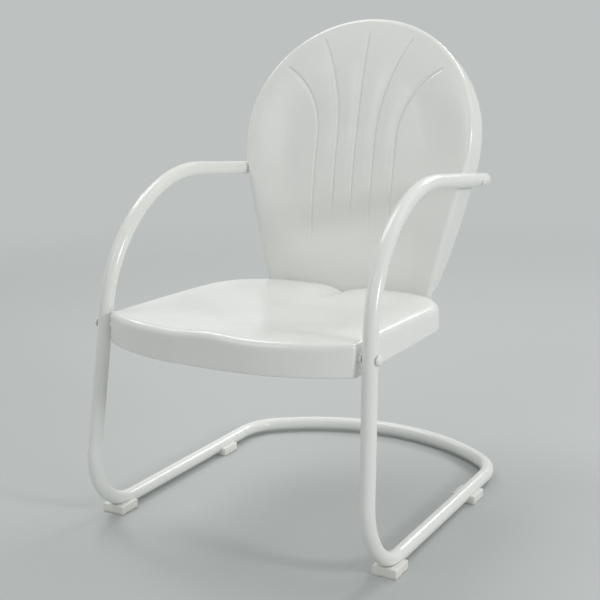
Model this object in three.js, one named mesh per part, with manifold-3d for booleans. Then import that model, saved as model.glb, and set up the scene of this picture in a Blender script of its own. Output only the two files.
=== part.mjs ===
// Retro metal lawn chair. A bent steel tube frame, sprung at its front legs, carries a
// pressed steel seat pan and a shell shaped back. Units are millimetres, +Z is up and the
// sitter faces -Y. The origin is on the floor, in the middle of the chair's width and
// depth. Left and right are the sitter's, so left is +X.

import * as THREE from 'three';
import { mergeVertices } from 'three/addons/utils/BufferGeometryUtils.js';
import Module from 'manifold-3d';

const wasm = await Module();
wasm.setup();

const { degToRad, lerp, smoothstep } = THREE.MathUtils;

// Stock that the chair is made from
const tubeDiameter = 25.4;
const tubeWall = 1.5;
const sheetThickness = 1.4;
const seatingGap = 0.3;

// Frame: one bent tube on each side, and a bowed tube that joins them behind
const overallHeight = 874;
const overallDepth = 710;
const baseBeforeCorner = 40.26;
const runnerSpacing = 545;
const floorBendRadius = 108;
const legLean = 8.1;
const lowerLegRun = 28;
const upperLegRun = 227;
const kneeRadius = 234;
const kneeTurn = 29.5;
const shoulderRadius = 263;
const shoulderTurn = 58;
const armRun = 214;
const armBoltFromEnd = 31;
const rearCornerRadius = 102;
const rearCornerTurn = 49.3;
const rearStraightRun = 6;
const swageDiameter = 20.6;
const swageLength = 45;
const swageShoulder = 2;
const swageShoulderInset = 0.5;

// Back: a shell outline, a round head on straight sides, bent to one large radius
const backFootAboveSkirt = 4;
const leanAboveRim = 15;
const backBendRadius = 1020;
const backFootHalfWidth = 166.79;
const backTaper = 14;
const headEdgeTurn = 14;
const backEdgeRadius = 9;
const backFlangeHeadDepth = 41;
const backFlangeWaistDepth = 50;
const backFlangeFootDepth = 2;
const backFlangeWaistRun = 120;
const backFlangeFootRun = -26;
const backFlangeDraft = 0.5;
const backFlangeHem = 4;
const backDishDepth = 11;
const backDishHeadDepth = 4;
const backDishBand = 48;
const backDishFoot = 90;
const backDishHead = 430;
const grooveDepth = 2.6;
const grooveHalfWidth = 5.5;
const grooveFade = 50;
const grooveBendStart = 257;
const outerGroove = { offset: 83, radius: 148, turn: 60, foot: 65 };
const innerGroove = { offset: 40, radius: 362, turn: 30.5, foot: 95 };
const middleGroove = { offset: 0, reach: 197, foot: 100 };
const fluteCrown = 1.2;

// Seat: a pressed pan with a rolled edge and a deep skirt
const seatWidth = 472;
const seatPanDepth = 486.7;
const seatRimHeight = 389;
const seatRearDrop = 14;
const seatSkirtHeight = 55;
const seatRollRadius = 13;
const rearRollRadius = 17;
const rollWidensFromMiddle = 60;
const cornerRollRadius = 8.5;
const cornerRollSide = 41;
const cornerRollFar = 93;
const cornerRollNear = 57;
const seatSkirtHem = 6;
const seatDish = 15;
const bowlExponent = 1.7;
const bowlFrontRun = 200;
const bowlRearRun = 150;
const seatFrontRadius = 900;
const seatFrontHalfFlat = 70;
const seatCheekRadius = 350;
const seatFrontCornerRadius = 10;
const seatRearCornerRadius = 124;
const pommelHeight = 4.5;
const pommelHalfWidth = 45;
const pommelLength = 150;
const creaseDepth = 13;
const creaseHalfWidth = 24;
const creaseLength = 110;

// Fasteners and fittings
const boltDiameter = 6;
const boltHoleDiameter = 6.9;
const seatBoltBelowRim = 25;
const seatBoltHeadDiameter = 17;
const seatBoltHeadHeight = 6;
const smallHeadDiameter = 13;
const smallHeadHeight = 3.6;
const boltTail = 3;
const washerDiameter = 12;
const washerThickness = 1.2;
const nutAcrossFlats = 10;
const nutThickness = 5;
const spacerDiameter = 12;
const insertDiameter = 9;
const insertLength = 9;
const armSeatGap = 1;
const backBoltAboveFoot = 10;
const backBoltOffsets = [-96, -36, 36, 96];
const screwHeadDiameter = 10;
const screwHeadHeight = 1.8;
const screwDiameter = 4;
const screwHoleDiameter = 4.8;
const screwLength = 9;
const screwFromSeam = 22;

// Plugs in the open arm ends, and glides under the runners
const plugDomeHeight = 11;
const plugShoulderRun = 2.5;
const plugSpigotLength = 16;
const glideFloor = 4;
const glideWidth = 44;
const glideHeight = 16;
const glideChamfer = 1.5;
const glideLength = 46;
const frontGlideBeforeBend = 36;
const rearGlideFromSeam = 75;

// How finely curves are cut
const tubeSides = 14;
const boreSides = 10;
const fastenerSides = 10;
const roundSteps = 3;
const domeShares = [0, 0.38, 0.7, 0.9];
const seatRingShares = [0.28, 0.5, 0.68, 0.82, 0.92, 1];
const rearEdgeShares = [0.33, 0.67, 0.82, 0.91, 1];
const backRowShares = [0.124, 0.14, 0.17, 0.22, 0.29, 0.39, 0.51, 0.65, 0.81, 1];
const mergeTolerance = 1e-4;
const overrun = 20;
const probeStep = 1;
const solvePasses = 5;

// Sizes that follow from the ones above
const tubeRadius = tubeDiameter / 2;
const boreRadius = tubeRadius - tubeWall;
const runnerHeight = glideFloor + tubeRadius;
const seatFrontTurn = Math.asin(seatFrontHalfFlat / seatFrontRadius);
const seatCheekRun = seatWidth / 2 - seatFrontHalfFlat + seatCheekRadius * Math.sin(seatFrontTurn);
const seatCheekEnd = Math.asin(
  (seatCheekRun - seatFrontCornerRadius) / (seatCheekRadius - seatFrontCornerRadius),
);
const frontCornerDepth = seatFrontRadius * (1 - Math.cos(seatFrontTurn))
  + seatCheekRadius * (Math.cos(seatFrontTurn) - Math.cos(seatCheekEnd))
  + seatFrontCornerRadius * Math.cos(seatCheekEnd);
const seatFrontY = -overallDepth / 2;
const seatRearY = seatFrontY + seatPanDepth;
const skirtBottom = seatRimHeight - seatSkirtHeight;
const seatBoltHeight = seatRimHeight - seatBoltBelowRim;
const backFaceY = seatRearY + seatingGap;
const backBottomHeight = skirtBottom + backFootAboveSkirt;
const backBoltHeight = backBottomHeight + backBoltAboveFoot;
const backBendStart = seatRimHeight + leanAboveRim;
const bendStartY = seatFrontY + frontCornerDepth - baseBeforeCorner + tubeRadius + floorBendRadius;
const cornerTurn = degToRad(rearCornerTurn);
const bowEndX = runnerSpacing / 2 - rearCornerRadius * (1 - Math.cos(cornerTurn));
const bowRadius = bowEndX / Math.cos(cornerTurn);
const cornerStartY = overallDepth / 2 - tubeRadius - bowRadius * (1 - Math.sin(cornerTurn))
  - rearCornerRadius * Math.sin(cornerTurn);
const seamY = cornerStartY - rearStraightRun;
const roundTurns = evenShares(roundSteps).map((share) => (share * Math.PI) / 2);

const paint = { color: 0xf1f2ef, roughness: 0.34, metalness: 0.0 };
const zinc = { color: 0xb9bcc0, roughness: 0.38, metalness: 1.0 };
const plastic = { color: 0xe9eae6, roughness: 0.5, metalness: 0.0 };

const chair = new THREE.Group();

function add(name, geometry, finish, parent = chair) {
  const mesh = new THREE.Mesh(geometry, new THREE.MeshStandardMaterial(finish));
  mesh.name = name;
  parent.add(mesh);
  return mesh;
}

// Routes. A route is drawn like a pen that runs straight or turns on a radius. Its
// pieces give a point and a heading for any share of their length.

function route(start, heading, moves) {
  const pieces = [];
  let point = start.clone();
  let angle = heading;
  for (const move of moves) {
    const from = point.clone();
    const first = angle;
    const { turn = 0, radius = 0, run = 0 } = move;
    const reach = Math.sign(turn) * radius;
    const away = (a) => new THREE.Vector2(Math.sin(a), -Math.cos(a)).multiplyScalar(reach);
    const ahead = new THREE.Vector2(Math.cos(first), Math.sin(first));
    const centre = from.clone().sub(away(first));
    const headingAt = (share) => first + turn * share;
    const at = (share) => (radius
      ? centre.clone().add(away(headingAt(share)))
      : from.clone().addScaledVector(ahead, run * share));
    pieces.push({ at, headingAt, stops: move.stops ?? evenShares(move.steps ?? 1) });
    point = at(1);
    angle = headingAt(1);
  }
  return { pieces, end: point, heading: angle };
}

function evenShares(count) {
  return Array.from({ length: count }, (_, i) => (i + 1) / count);
}

// A space curve whose stations are the stops of a route's pieces
class RouteCurve extends THREE.Curve {
  constructor(pieces, toSpace) {
    super();
    this.toSpace = toSpace;
    this.spans = pieces.flatMap((piece) => piece.stops.map((stop, i) => ({
      piece, from: i ? piece.stops[i - 1] : 0, to: stop,
    })));
  }

  get stations() {
    return this.spans.length;
  }

  getPoint(share, target = new THREE.Vector3()) {
    const place = THREE.MathUtils.clamp(share, 0, 1) * this.spans.length;
    const index = Math.min(Math.floor(place), this.spans.length - 1);
    const { piece, from, to } = this.spans[index];
    return target.copy(this.toSpace(piece.at(lerp(from, to, place - index))));
  }

  getUtoTmapping(share) {
    return share;
  }
}

function ringPoints(radius, sides) {
  return Array.from({ length: sides }, (_, i) => {
    const a = (i / sides) * 2 * Math.PI;
    return new THREE.Vector2(radius * Math.cos(a), radius * Math.sin(a));
  });
}

function tubeAlong(curve, outer, inner) {
  const section = new THREE.Shape(ringPoints(outer, tubeSides));
  if (inner) {
    section.holes.push(new THREE.Path(ringPoints(inner, boreSides)));
  }
  return new THREE.ExtrudeGeometry(section, {
    steps: curve.stations, extrudePath: curve, bevelEnabled: false,
  });
}

// Solids that are joined or cut

function toSolid(geometry) {
  const plain = new THREE.BufferGeometry();
  plain.setAttribute('position', geometry.getAttribute('position').clone());
  if (geometry.index) {
    plain.setIndex(geometry.index.clone());
  }
  const merged = mergeVertices(plain, mergeTolerance);
  const triVerts = [];
  const index = merged.index.array;
  for (let i = 0; i < index.length; i += 3) {
    const [a, b, c] = [index[i], index[i + 1], index[i + 2]];
    if (a !== b && b !== c && c !== a) {
      triVerts.push(a, b, c);
    }
  }
  return new wasm.Manifold(new wasm.Mesh({
    numProp: 3,
    vertProperties: new Float32Array(merged.getAttribute('position').array),
    triVerts: new Uint32Array(triVerts),
  }));
}

function fromSolid(solid) {
  const { vertProperties, triVerts, numProp } = solid.getMesh();
  const geometry = new THREE.BufferGeometry();
  const positions = new Float32Array((vertProperties.length / numProp) * 3);
  for (let i = 0; i < positions.length / 3; i += 1) {
    positions.set(vertProperties.subarray(i * numProp, i * numProp + 3), i * 3);
  }
  geometry.setAttribute('position', new THREE.BufferAttribute(positions, 3));
  geometry.setIndex(new THREE.BufferAttribute(new Uint32Array(triVerts), 1));
  geometry.computeVertexNormals();
  return geometry;
}

function cut(geometry, cutters) {
  const rest = cutters.reduce((solid, cutter) => solid.subtract(toSolid(cutter)), toSolid(geometry));
  return fromSolid(rest);
}

// A round bar centred on a point, used to drill holes
function drill(diameter, length, centre, axis) {
  const bar = new THREE.CylinderGeometry(diameter / 2, diameter / 2, length, fastenerSides);
  bar.applyQuaternion(new THREE.Quaternion().setFromUnitVectors(new THREE.Vector3(0, 1, 0), axis));
  return bar.translate(centre.x, centre.y, centre.z);
}

// Turned pieces have their axis along +Y, and are set to a point and an axis

function set(mesh, point, axis) {
  mesh.position.copy(point);
  mesh.quaternion.setFromUnitVectors(new THREE.Vector3(0, 1, 0), axis);
  return mesh;
}

function boltGeometry(shank, length, head, height) {
  const dome = domeShares.map((riseShare) => new THREE.Vector2(
    (head / 2) * Math.sqrt(1 - riseShare * riseShare), height * riseShare,
  ));
  const profile = [
    new THREE.Vector2(0, -length),
    new THREE.Vector2(shank / 2, -length),
    new THREE.Vector2(shank / 2, 0),
    ...dome,
    new THREE.Vector2(0, height),
  ];
  return new THREE.LatheGeometry(profile, fastenerSides);
}

function ringGeometry(outer, inner, height) {
  const profile = [
    new THREE.Vector2(inner / 2, 0),
    new THREE.Vector2(outer / 2, 0),
    new THREE.Vector2(outer / 2, height),
    new THREE.Vector2(inner / 2, height),
    new THREE.Vector2(inner / 2, 0),
  ];
  return new THREE.LatheGeometry(profile, fastenerSides);
}

function nutGeometry() {
  const corner = nutAcrossFlats / 2 / Math.cos(Math.PI / 6);
  const hexagon = new THREE.Shape(ringPoints(corner, 6));
  hexagon.holes.push(new THREE.Path(ringPoints(boltHoleDiameter / 2, fastenerSides)));
  const settings = { depth: nutThickness, bevelEnabled: false };
  return new THREE.ExtrudeGeometry(hexagon, settings).rotateX(-Math.PI / 2);
}

// Pressed sheet. A skin is a list of points and triangles seen from its good side, and
// its thickness is added behind it.

function thicken(points, triangles, thickness) {
  const normals = points.map(() => new THREE.Vector3());
  const used = new Map();
  for (const [a, b, c] of triangles) {
    const ab = points[b].clone().sub(points[a]);
    const ac = points[c].clone().sub(points[a]);
    const face = ab.cross(ac);
    for (const corner of [a, b, c]) {
      normals[corner].add(face);
    }
    for (const [from, to] of [[a, b], [b, c], [c, a]]) {
      used.set(`${from} ${to}`, [from, to]);
    }
  }
  const count = points.length;
  const back = points.map((point, i) => point.clone().addScaledVector(normals[i].normalize(), -thickness));
  const faces = triangles.flatMap(([a, b, c]) => [[a, b, c], [c + count, b + count, a + count]]);
  for (const [from, to] of used.values()) {
    if (!used.has(`${to} ${from}`)) {
      faces.push([to, from, from + count], [to, from + count, to + count]);
    }
  }
  const geometry = new THREE.BufferGeometry().setFromPoints([...points, ...back]);
  geometry.setIndex(faces.flat());
  geometry.computeVertexNormals();
  return geometry;
}

function quads(rows, columns, flip) {
  const triangles = [];
  for (let i = 0; i < rows.length - 1; i += 1) {
    for (let j = 0; j < columns - 1; j += 1) {
      const [a, b, c, d] = [rows[i][j], rows[i][j + 1], rows[i + 1][j + 1], rows[i + 1][j]];
      triangles.push(...(flip ? [[c, b, a], [d, c, a]] : [[a, b, c], [a, c, d]]));
    }
  }
  return triangles;
}

// Back shell. Points are laid out flat as (x, s), where s runs up the face from the
// height at which it starts to lean, and are then wrapped on the large bend radius.

// Where the round of the edge is highest, it touches the chair's full height
const topRise = overallHeight - backEdgeRadius - backBendStart;
const topLean = Math.asin(topRise / (backBendRadius - backEdgeRadius));
const outlineTop = backBendRadius * topLean + backEdgeRadius;
const backFootRun = backBottomHeight - backBendStart;
const grooveStraight = grooveBendStart - backFootRun;
const taper = degToRad(backTaper);

// The head is the circle that touches both straight sides and the top
const sideRise = (outlineTop - backFootRun) * Math.sin(taper);
const backHeadRadius = (backFootHalfWidth * Math.cos(taper) + sideRise) / (1 + Math.sin(taper));
const headCentre = outlineTop - backHeadRadius;

function backPoint(x, s, depth) {
  const lean = Math.max(s, 0) / backBendRadius;
  const y = backFaceY + backBendRadius * (1 - Math.cos(lean)) + depth * Math.cos(lean);
  const z = backBendStart + Math.min(s, 0) + backBendRadius * Math.sin(lean) - depth * Math.sin(lean);
  return new THREE.Vector3(x, y, z);
}

function runAtHeight(z) {
  const rise = z - backBendStart;
  return rise < 0 ? rise : backBendRadius * Math.asin(rise / backBendRadius);
}

// Half width of the outline, less an inset, at a run below the round head
function sideX(s, inset) {
  return (backHeadRadius - inset - (headCentre - s) * Math.sin(taper)) / Math.cos(taper);
}

// Distance from a point to the inset outline
function insideOutline(x, s, inset) {
  const [dx, ds] = [Math.abs(x), s - headCentre];
  const onHead = ds > -dx * Math.tan(taper);
  return onHead
    ? backHeadRadius - inset - Math.hypot(dx, ds)
    : (sideX(s, inset) - dx) * Math.cos(taper);
}

function dishAt(x, s) {
  const inwards = smoothstep(insideOutline(x, s, backEdgeRadius), 0, backDishBand);
  const depth = lerp(backDishDepth, backDishHeadDepth, smoothstep(s, grooveBendStart, backDishHead));
  return depth * inwards * smoothstep(s, 0, backDishFoot);
}

// A groove runs straight up and then turns outwards on its radius. The rows lie closest
// where the flange sweeps in.
function grooveRoute(groove, sign) {
  const start = new THREE.Vector2(sign * groove.offset, backFootRun);
  const moves = [{ run: grooveStraight, stops: backRowShares }];
  if (groove.radius) {
    moves.push({ radius: groove.radius, turn: -sign * degToRad(groove.turn), steps: 7 });
  } else {
    moves.push({ run: groove.reach, steps: 7 });
  }
  const bent = route(start, Math.PI / 2, moves);
  const reach = reachToHead(bent.end, bent.heading);
  return route(start, Math.PI / 2, [...moves, { run: reach, steps: 2 }]);
}

// How far a line runs before it meets the crest of the round head
function reachToHead(point, heading) {
  const [dx, ds] = [Math.cos(heading), Math.sin(heading)];
  const [px, ps] = [point.x, point.y - headCentre];
  const along = px * dx + ps * ds;
  const crest = backHeadRadius - backEdgeRadius;
  return -along + Math.sqrt(along * along - (px * px + ps * ps - crest * crest));
}

// The side edge of the face, up its straight part and on round the head
function edgeRoute(sign) {
  const start = new THREE.Vector2(sign * sideX(backFootRun, backEdgeRadius), backFootRun);
  const tangentRun = headCentre - (backHeadRadius - backEdgeRadius) * Math.sin(taper);
  const rise = tangentRun - backFootRun;
  const level = backRowShares.slice(0, -2).map((share) => (share * grooveStraight) / rise);
  return route(start, Math.PI / 2 - sign * taper, [
    { run: rise / Math.cos(taper), stops: [...level, 1] },
    { radius: backHeadRadius - backEdgeRadius, turn: sign * (taper + degToRad(headEdgeTurn)), steps: 10 },
  ]);
}

function stationsOf(path) {
  const places = [{ point: path.pieces[0].at(0), heading: path.pieces[0].headingAt(0) }];
  for (const piece of path.pieces) {
    for (const stop of piece.stops) {
      places.push({ point: piece.at(stop), heading: piece.headingAt(stop) });
    }
  }
  return places;
}

// Columns of the face: each groove has a bottom line and two lips, with plain columns
// between it and its neighbours
function faceColumns() {
  const grooves = [
    [outerGroove, -1], [innerGroove, -1], [middleGroove, 1], [innerGroove, 1], [outerGroove, 1],
  ];
  const gapColumns = [3, 1, 1, 1, 1, 3];
  const [rightEdge, leftEdge] = [-1, 1].map((sign) => (
    stationsOf(edgeRoute(sign)).map(({ point }) => ({ point, deep: 0 }))
  ));
  const lips = grooves.flatMap(([groove, sign]) => {
    const places = stationsOf(grooveRoute(groove, sign));
    const last = places.length - 1;
    return [-1, 0, 1].map((side) => places.map(({ point, heading }, i) => {
      const across = new THREE.Vector2(Math.sin(heading), -Math.cos(heading));
      const moved = point.clone().addScaledVector(across, side * grooveHalfWidth);
      const fadeIn = smoothstep(point.y, groove.foot - grooveFade, groove.foot);
      const deep = side || i > last - 3 ? 0 : fadeIn;
      return { point: i === last ? onCrest(point, side) : moved, deep };
    }));
  });
  const masters = [rightEdge, ...lips, leftEdge];
  const result = [masters[0]];
  for (let i = 1; i < masters.length; i += 1) {
    const firstLip = (i - 1) % 3 === 0;
    const count = firstLip ? gapColumns[(i - 1) / 3] : 0;
    for (let k = 1; k <= count; k += 1) {
      const share = k / (count + 1);
      result.push(masters[i].map((to, row) => {
        const point = masters[i - 1][row].point.clone().lerp(to.point, share);
        const crown = count === 1 ? 1 : 0;
        return { point: row === masters[i].length - 1 ? ontoCrest(point) : point, deep: 0, crown };
      }));
    }
    result.push(masters[i]);
  }
  return result;
}

// The point of the crest of the head that lies outwards of a point
function ontoCrest(point) {
  const angle = Math.atan2(point.y - headCentre, point.x);
  const crest = backHeadRadius - backEdgeRadius;
  return new THREE.Vector2(crest * Math.cos(angle), headCentre + crest * Math.sin(angle));
}

// The neighbours of a groove's last point, moved along the crest of the head
function onCrest(point, side) {
  const crest = backHeadRadius - backEdgeRadius;
  const angle = Math.atan2(point.y - headCentre, point.x) - (side * grooveHalfWidth) / crest;
  return new THREE.Vector2(crest * Math.cos(angle), headCentre + crest * Math.sin(angle));
}

// The flange is deepest at the waist, and sweeps in to a narrow lip behind the seat
function flangeDepthAt(s) {
  const below = Math.max(0, backFlangeWaistRun - s) / (backFlangeWaistRun - backFlangeFootRun);
  const sweep = Math.sqrt(Math.max(0, 1 - below * below));
  const above = smoothstep(s, backFlangeWaistRun, grooveBendStart);
  const full = lerp(backFlangeWaistDepth, backFlangeHeadDepth, above);
  return lerp(backFlangeFootDepth, full, sweep);
}

// Rolled edge and flange: stations from the crest, round the edge and back
function edgeProfile(s) {
  const round = roundTurns.map((angle) => (
    [backEdgeRadius * Math.sin(angle), backEdgeRadius * (1 - Math.cos(angle))]
  ));
  const depth = flangeDepthAt(s);
  const flare = depth * Math.tan(degToRad(backFlangeDraft));
  return [
    ...round,
    [backEdgeRadius + flare, backEdgeRadius + depth],
    [backEdgeRadius + flare - backFlangeHem, backEdgeRadius + depth + sheetThickness],
  ];
}

function outwardAt(point) {
  const [dx, ds] = [point.x, point.y - headCentre];
  const onHead = ds > -Math.abs(dx) * Math.tan(taper);
  return onHead
    ? new THREE.Vector2(dx, ds).normalize()
    : new THREE.Vector2(Math.sign(dx) * Math.cos(taper), -Math.sin(taper));
}

function backShell() {
  const columns = faceColumns();
  const rowCount = columns[0].length;
  const points = [];
  const grid = Array.from({ length: rowCount }, () => []);
  for (let j = 0; j < columns.length; j += 1) {
    for (let i = 0; i < rowCount; i += 1) {
      const { point, deep, crown = 0 } = columns[j][i];
      const swell = i < rowCount - 1 ? crown * smoothstep(point.y, innerGroove.foot, grooveBendStart) : 0;
      const depth = dishAt(point.x, point.y) + grooveDepth * deep - fluteCrown * swell;
      grid[i].push(points.length);
      points.push(backPoint(point.x, point.y, depth));
    }
  }
  const last = columns.length - 1;
  const border = [
    ...columns[0].map(({ point }, i) => ({ point, index: grid[i][0] })),
    ...columns.slice(1, last).map((column, j) => ({
      point: column[rowCount - 1].point, index: grid[rowCount - 1][j + 1],
    })),
    ...columns[last].map(({ point }, i) => ({ point, index: grid[i][last] })).reverse(),
  ];
  const rings = [border.map(({ index }) => index)];
  const steps = edgeProfile(0).length;
  for (let k = 0; k < steps; k += 1) {
    rings.push(border.map(({ point }) => {
      const [out, depth] = edgeProfile(point.y)[k];
      const place = point.clone().addScaledVector(outwardAt(point), out);
      points.push(backPoint(place.x, place.y, depth));
      return points.length - 1;
    }));
  }
  const triangles = [...quads(grid, columns.length, false), ...quads(rings, border.length, false)];
  return thicken(points, triangles, sheetThickness);
}

// Seat pan

// Half outline from the middle of the front to the middle of the rear
function seatHalfOutline() {
  const half = seatWidth / 2;
  const front = route(new THREE.Vector2(0, seatFrontY), 0, [
    { radius: seatFrontRadius, turn: seatFrontTurn, steps: 3 },
    { radius: seatCheekRadius, turn: seatCheekEnd - seatFrontTurn, steps: 5 },
    { radius: seatFrontCornerRadius, turn: Math.PI / 2 - seatCheekEnd, steps: 3 },
  ]);
  const sideRun = seatRearY - seatRearCornerRadius - front.end.y;
  const rest = route(front.end, Math.PI / 2, [
    { run: sideRun, steps: 6 },
    { radius: seatRearCornerRadius, turn: Math.PI / 2, steps: 5 },
    { run: half - seatRearCornerRadius, stops: rearEdgeShares },
  ]);
  return stationsOf({ pieces: [...front.pieces, ...rest.pieces] });
}

function seatOutline() {
  const half = seatHalfOutline().map(({ point, heading }) => ({
    point, out: new THREE.Vector2(Math.sin(heading), -Math.cos(heading)),
  }));
  const mirrored = half.slice(1, -1).reverse().map(({ point, out }) => ({
    point: new THREE.Vector2(-point.x, point.y), out: new THREE.Vector2(-out.x, out.y),
  }));
  return [...half, ...mirrored];
}

function rimHeightAt(y) {
  const share = Math.max(0, (y - seatFrontY) / seatPanDepth);
  return seatRimHeight - seatRearDrop * share * share;
}

// The rolled edge is tighter at the front corners and wider at the rear ones
function rollAt(x, y) {
  const roll = lerp(
    seatRollRadius, rearRollRadius, smoothstep(y, -rollWidensFromMiddle, rollWidensFromMiddle),
  );
  const atSide = smoothstep(
    Math.abs(x), seatWidth / 2 - cornerRollSide, seatWidth / 2 - seatFrontCornerRadius,
  );
  const atFront = smoothstep(seatFrontY + cornerRollFar - y, 0, cornerRollFar - cornerRollNear);
  return lerp(roll, cornerRollRadius, atSide * atFront);
}

// Where the crest of the front edge lies along Y, at a distance from the middle
function frontCrestY(x) {
  const across = Math.min(Math.abs(x), seatWidth / 2 - 2 * seatRollRadius);
  const middle = seatFrontY + seatRollRadius;
  if (across < seatFrontHalfFlat) {
    return middle + seatFrontRadius * (1 - Math.sqrt(1 - (across / seatFrontRadius) ** 2));
  }
  const sine = (across - seatFrontHalfFlat) / seatCheekRadius + Math.sin(seatFrontTurn);
  const fall = seatCheekRadius * (Math.cos(seatFrontTurn) - Math.sqrt(1 - sine * sine));
  return middle + seatFrontRadius * (1 - Math.cos(seatFrontTurn)) + fall;
}

// Half the width between the crests of the side edges, which draws in at the rear corners
function crestHalfWidth(y, roll) {
  const corner = seatRearCornerRadius - roll;
  const into = THREE.MathUtils.clamp((y - seatRearY + seatRearCornerRadius) / corner, 0, 1);
  return seatWidth / 2 - seatRearCornerRadius + corner * Math.sqrt(1 - into * into);
}

// The top face: a bowl, a swell in the middle of the front and a crease at the rear
function seatHeightAt(x, y) {
  const roll = rollAt(x, y);
  const across = Math.min(1, Math.abs(x) / crestHalfWidth(y, roll));
  const bowl = seatDish * 0.5 * (1 + Math.cos(Math.PI * across ** bowlExponent))
    * smoothstep(y - frontCrestY(x), 0, bowlFrontRun)
    * smoothstep(seatRearY - roll - y, 0, bowlRearRun);
  const pommel = pommelHeight * Math.exp(-((x / pommelHalfWidth) ** 2))
    * smoothstep(-y, -(seatFrontY + pommelLength), -seatFrontY);
  const crease = creaseDepth * Math.max(0, 1 - Math.abs(x) / creaseHalfWidth)
    * smoothstep(y, seatRearY - creaseLength, seatRearY - seatRollRadius);
  return rimHeightAt(y) - bowl + pommel - crease;
}

function seatPan() {
  const outline = seatOutline();
  const middle = new THREE.Vector2(0, seatFrontY + seatPanDepth / 2);
  const rolls = outline.map(({ point }) => rollAt(point.x, point.y));
  const crest = outline.map(({ point, out }, i) => point.clone().addScaledVector(out, -rolls[i]));
  const points = [new THREE.Vector3(0, middle.y, seatHeightAt(0, middle.y))];
  const ring = (makePoint) => outline.map((station, i) => {
    points.push(makePoint(station, crest[i], rolls[i]));
    return points.length - 1;
  });
  const rings = seatRingShares.map((share) => ring((_, top) => {
    const place = middle.clone().lerp(top, share);
    return new THREE.Vector3(place.x, place.y, seatHeightAt(place.x, place.y));
  }));
  for (const angle of roundTurns) {
    rings.push(ring(({ out }, top, roll) => {
      const place = top.clone().addScaledVector(out, roll * Math.sin(angle));
      const height = seatHeightAt(top.x, top.y) - roll * (1 - Math.cos(angle));
      return new THREE.Vector3(place.x, place.y, height);
    }));
  }
  rings.push(ring(({ point }) => new THREE.Vector3(point.x, point.y, skirtBottom)));
  rings.push(ring(({ point, out }) => new THREE.Vector3(
    point.x - out.x * seatSkirtHem, point.y - out.y * seatSkirtHem, skirtBottom - sheetThickness / 2,
  )));
  const closed = rings.map((indices) => [...indices, indices[0]]);
  const fan = closed[0].slice(0, -1).map((from, i) => [0, from, closed[0][i + 1]]);
  return thicken(points, [...fan, ...quads(closed, outline.length + 1, true)], sheetThickness);
}

// Side frames. Each lies in a plane that leans inwards about its runner, so that the arm
// comes in to the flange of the back.

const armShape = armRoutes();

function armRoutes() {
  const lower = route(new THREE.Vector2(seamY - seatingGap, 0), Math.PI, [
    { run: seamY - seatingGap - bendStartY, steps: 1 },
    { radius: floorBendRadius, turn: -(Math.PI / 2 + degToRad(legLean)), steps: 11 },
    { run: lowerLegRun - seatingGap / 2, steps: 1 },
  ]);
  const along = new THREE.Vector2(Math.cos(lower.heading), Math.sin(lower.heading));
  const upperStart = lower.end.clone().addScaledVector(along, seatingGap);
  const upper = route(upperStart, lower.heading, [
    { run: upperLegRun - seatingGap / 2, steps: 1 },
    { radius: kneeRadius, turn: -degToRad(kneeTurn), steps: 5 },
    { radius: shoulderRadius, turn: -degToRad(shoulderTurn), steps: 9 },
    { run: armRun, steps: 1 },
  ]);
  return { lower, upper, along };
}

// The outer face of the flange half way back, at a height: a point and the way it faces
function flangeFrame(z) {
  const slope = Math.tan(degToRad(backFlangeDraft));
  const onFlange = (run, share) => {
    const depth = flangeDepthAt(run) * share;
    const x = sideX(run, 0) + (depth * slope) / Math.cos(taper);
    return backPoint(x, run, backEdgeRadius + depth);
  };
  let run = runAtHeight(z);
  for (let pass = 0; pass < solvePasses; pass += 1) {
    run += z - onFlange(run, 0.5).z;
  }
  const point = onFlange(run, 0.5);
  const up = onFlange(run + probeStep, 0.5).sub(point);
  const rearwards = onFlange(run, 1).sub(point);
  return { point, normal: rearwards.cross(up).normalize() };
}

// The lean of the side planes, found so that the arm seats against the flange
function findSplay() {
  const arm = armShape.upper.pieces.at(-1);
  const spot = arm.at(1 - armBoltFromEnd / armRun);
  let angle = 0;
  for (let pass = 0; pass < solvePasses; pass += 1) {
    const { point, normal } = flangeFrame(runnerHeight + spot.y * Math.cos(angle));
    const reach = tubeRadius + armSeatGap - (spot.x - point.y) * normal.y;
    angle = Math.asin((runnerSpacing / 2 - point.x - reach / normal.x) / spot.y);
  }
  return angle;
}

const splay = findSplay();

function sidePoint(side, flat) {
  return new THREE.Vector3(
    side * (runnerSpacing / 2 - flat.y * Math.sin(splay)),
    flat.x,
    runnerHeight + flat.y * Math.cos(splay),
  );
}

function legPointAtHeight(side, z) {
  const leg = armShape.upper.pieces[0];
  const [low, high] = [sidePoint(side, leg.at(0)), sidePoint(side, leg.at(1))];
  return low.lerp(high, (z - low.z) / (high.z - low.z));
}

function armBoltPlace(side) {
  const armPiece = armShape.upper.pieces.at(-1);
  const centre = sidePoint(side, armPiece.at(1 - armBoltFromEnd / armRun));
  const { normal } = flangeFrame(centre.z);
  const outwards = new THREE.Vector3(side * normal.x, normal.y, normal.z);
  return { centre, outwards };
}

const xAxis = new THREE.Vector3(1, 0, 0);
const yAxis = new THREE.Vector3(0, 1, 0);
const zAxis = new THREE.Vector3(0, 0, 1);

function armTube(side) {
  const curve = new RouteCurve(armShape.upper.pieces, (flat) => sidePoint(side, flat));
  const seatBolt = legPointAtHeight(side, seatBoltHeight);
  const { centre, outwards } = armBoltPlace(side);
  const wallMiddle = centre.clone().addScaledVector(outwards, -tubeRadius);
  return cut(tubeAlong(curve, tubeRadius, boreRadius), [
    drill(boltHoleDiameter, tubeDiameter + overrun, seatBolt, xAxis),
    drill(insertDiameter + 2 * seatingGap, tubeDiameter - 2 * tubeWall, wallMiddle, outwards),
  ]);
}

const screwY = seamY - screwFromSeam;

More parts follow.
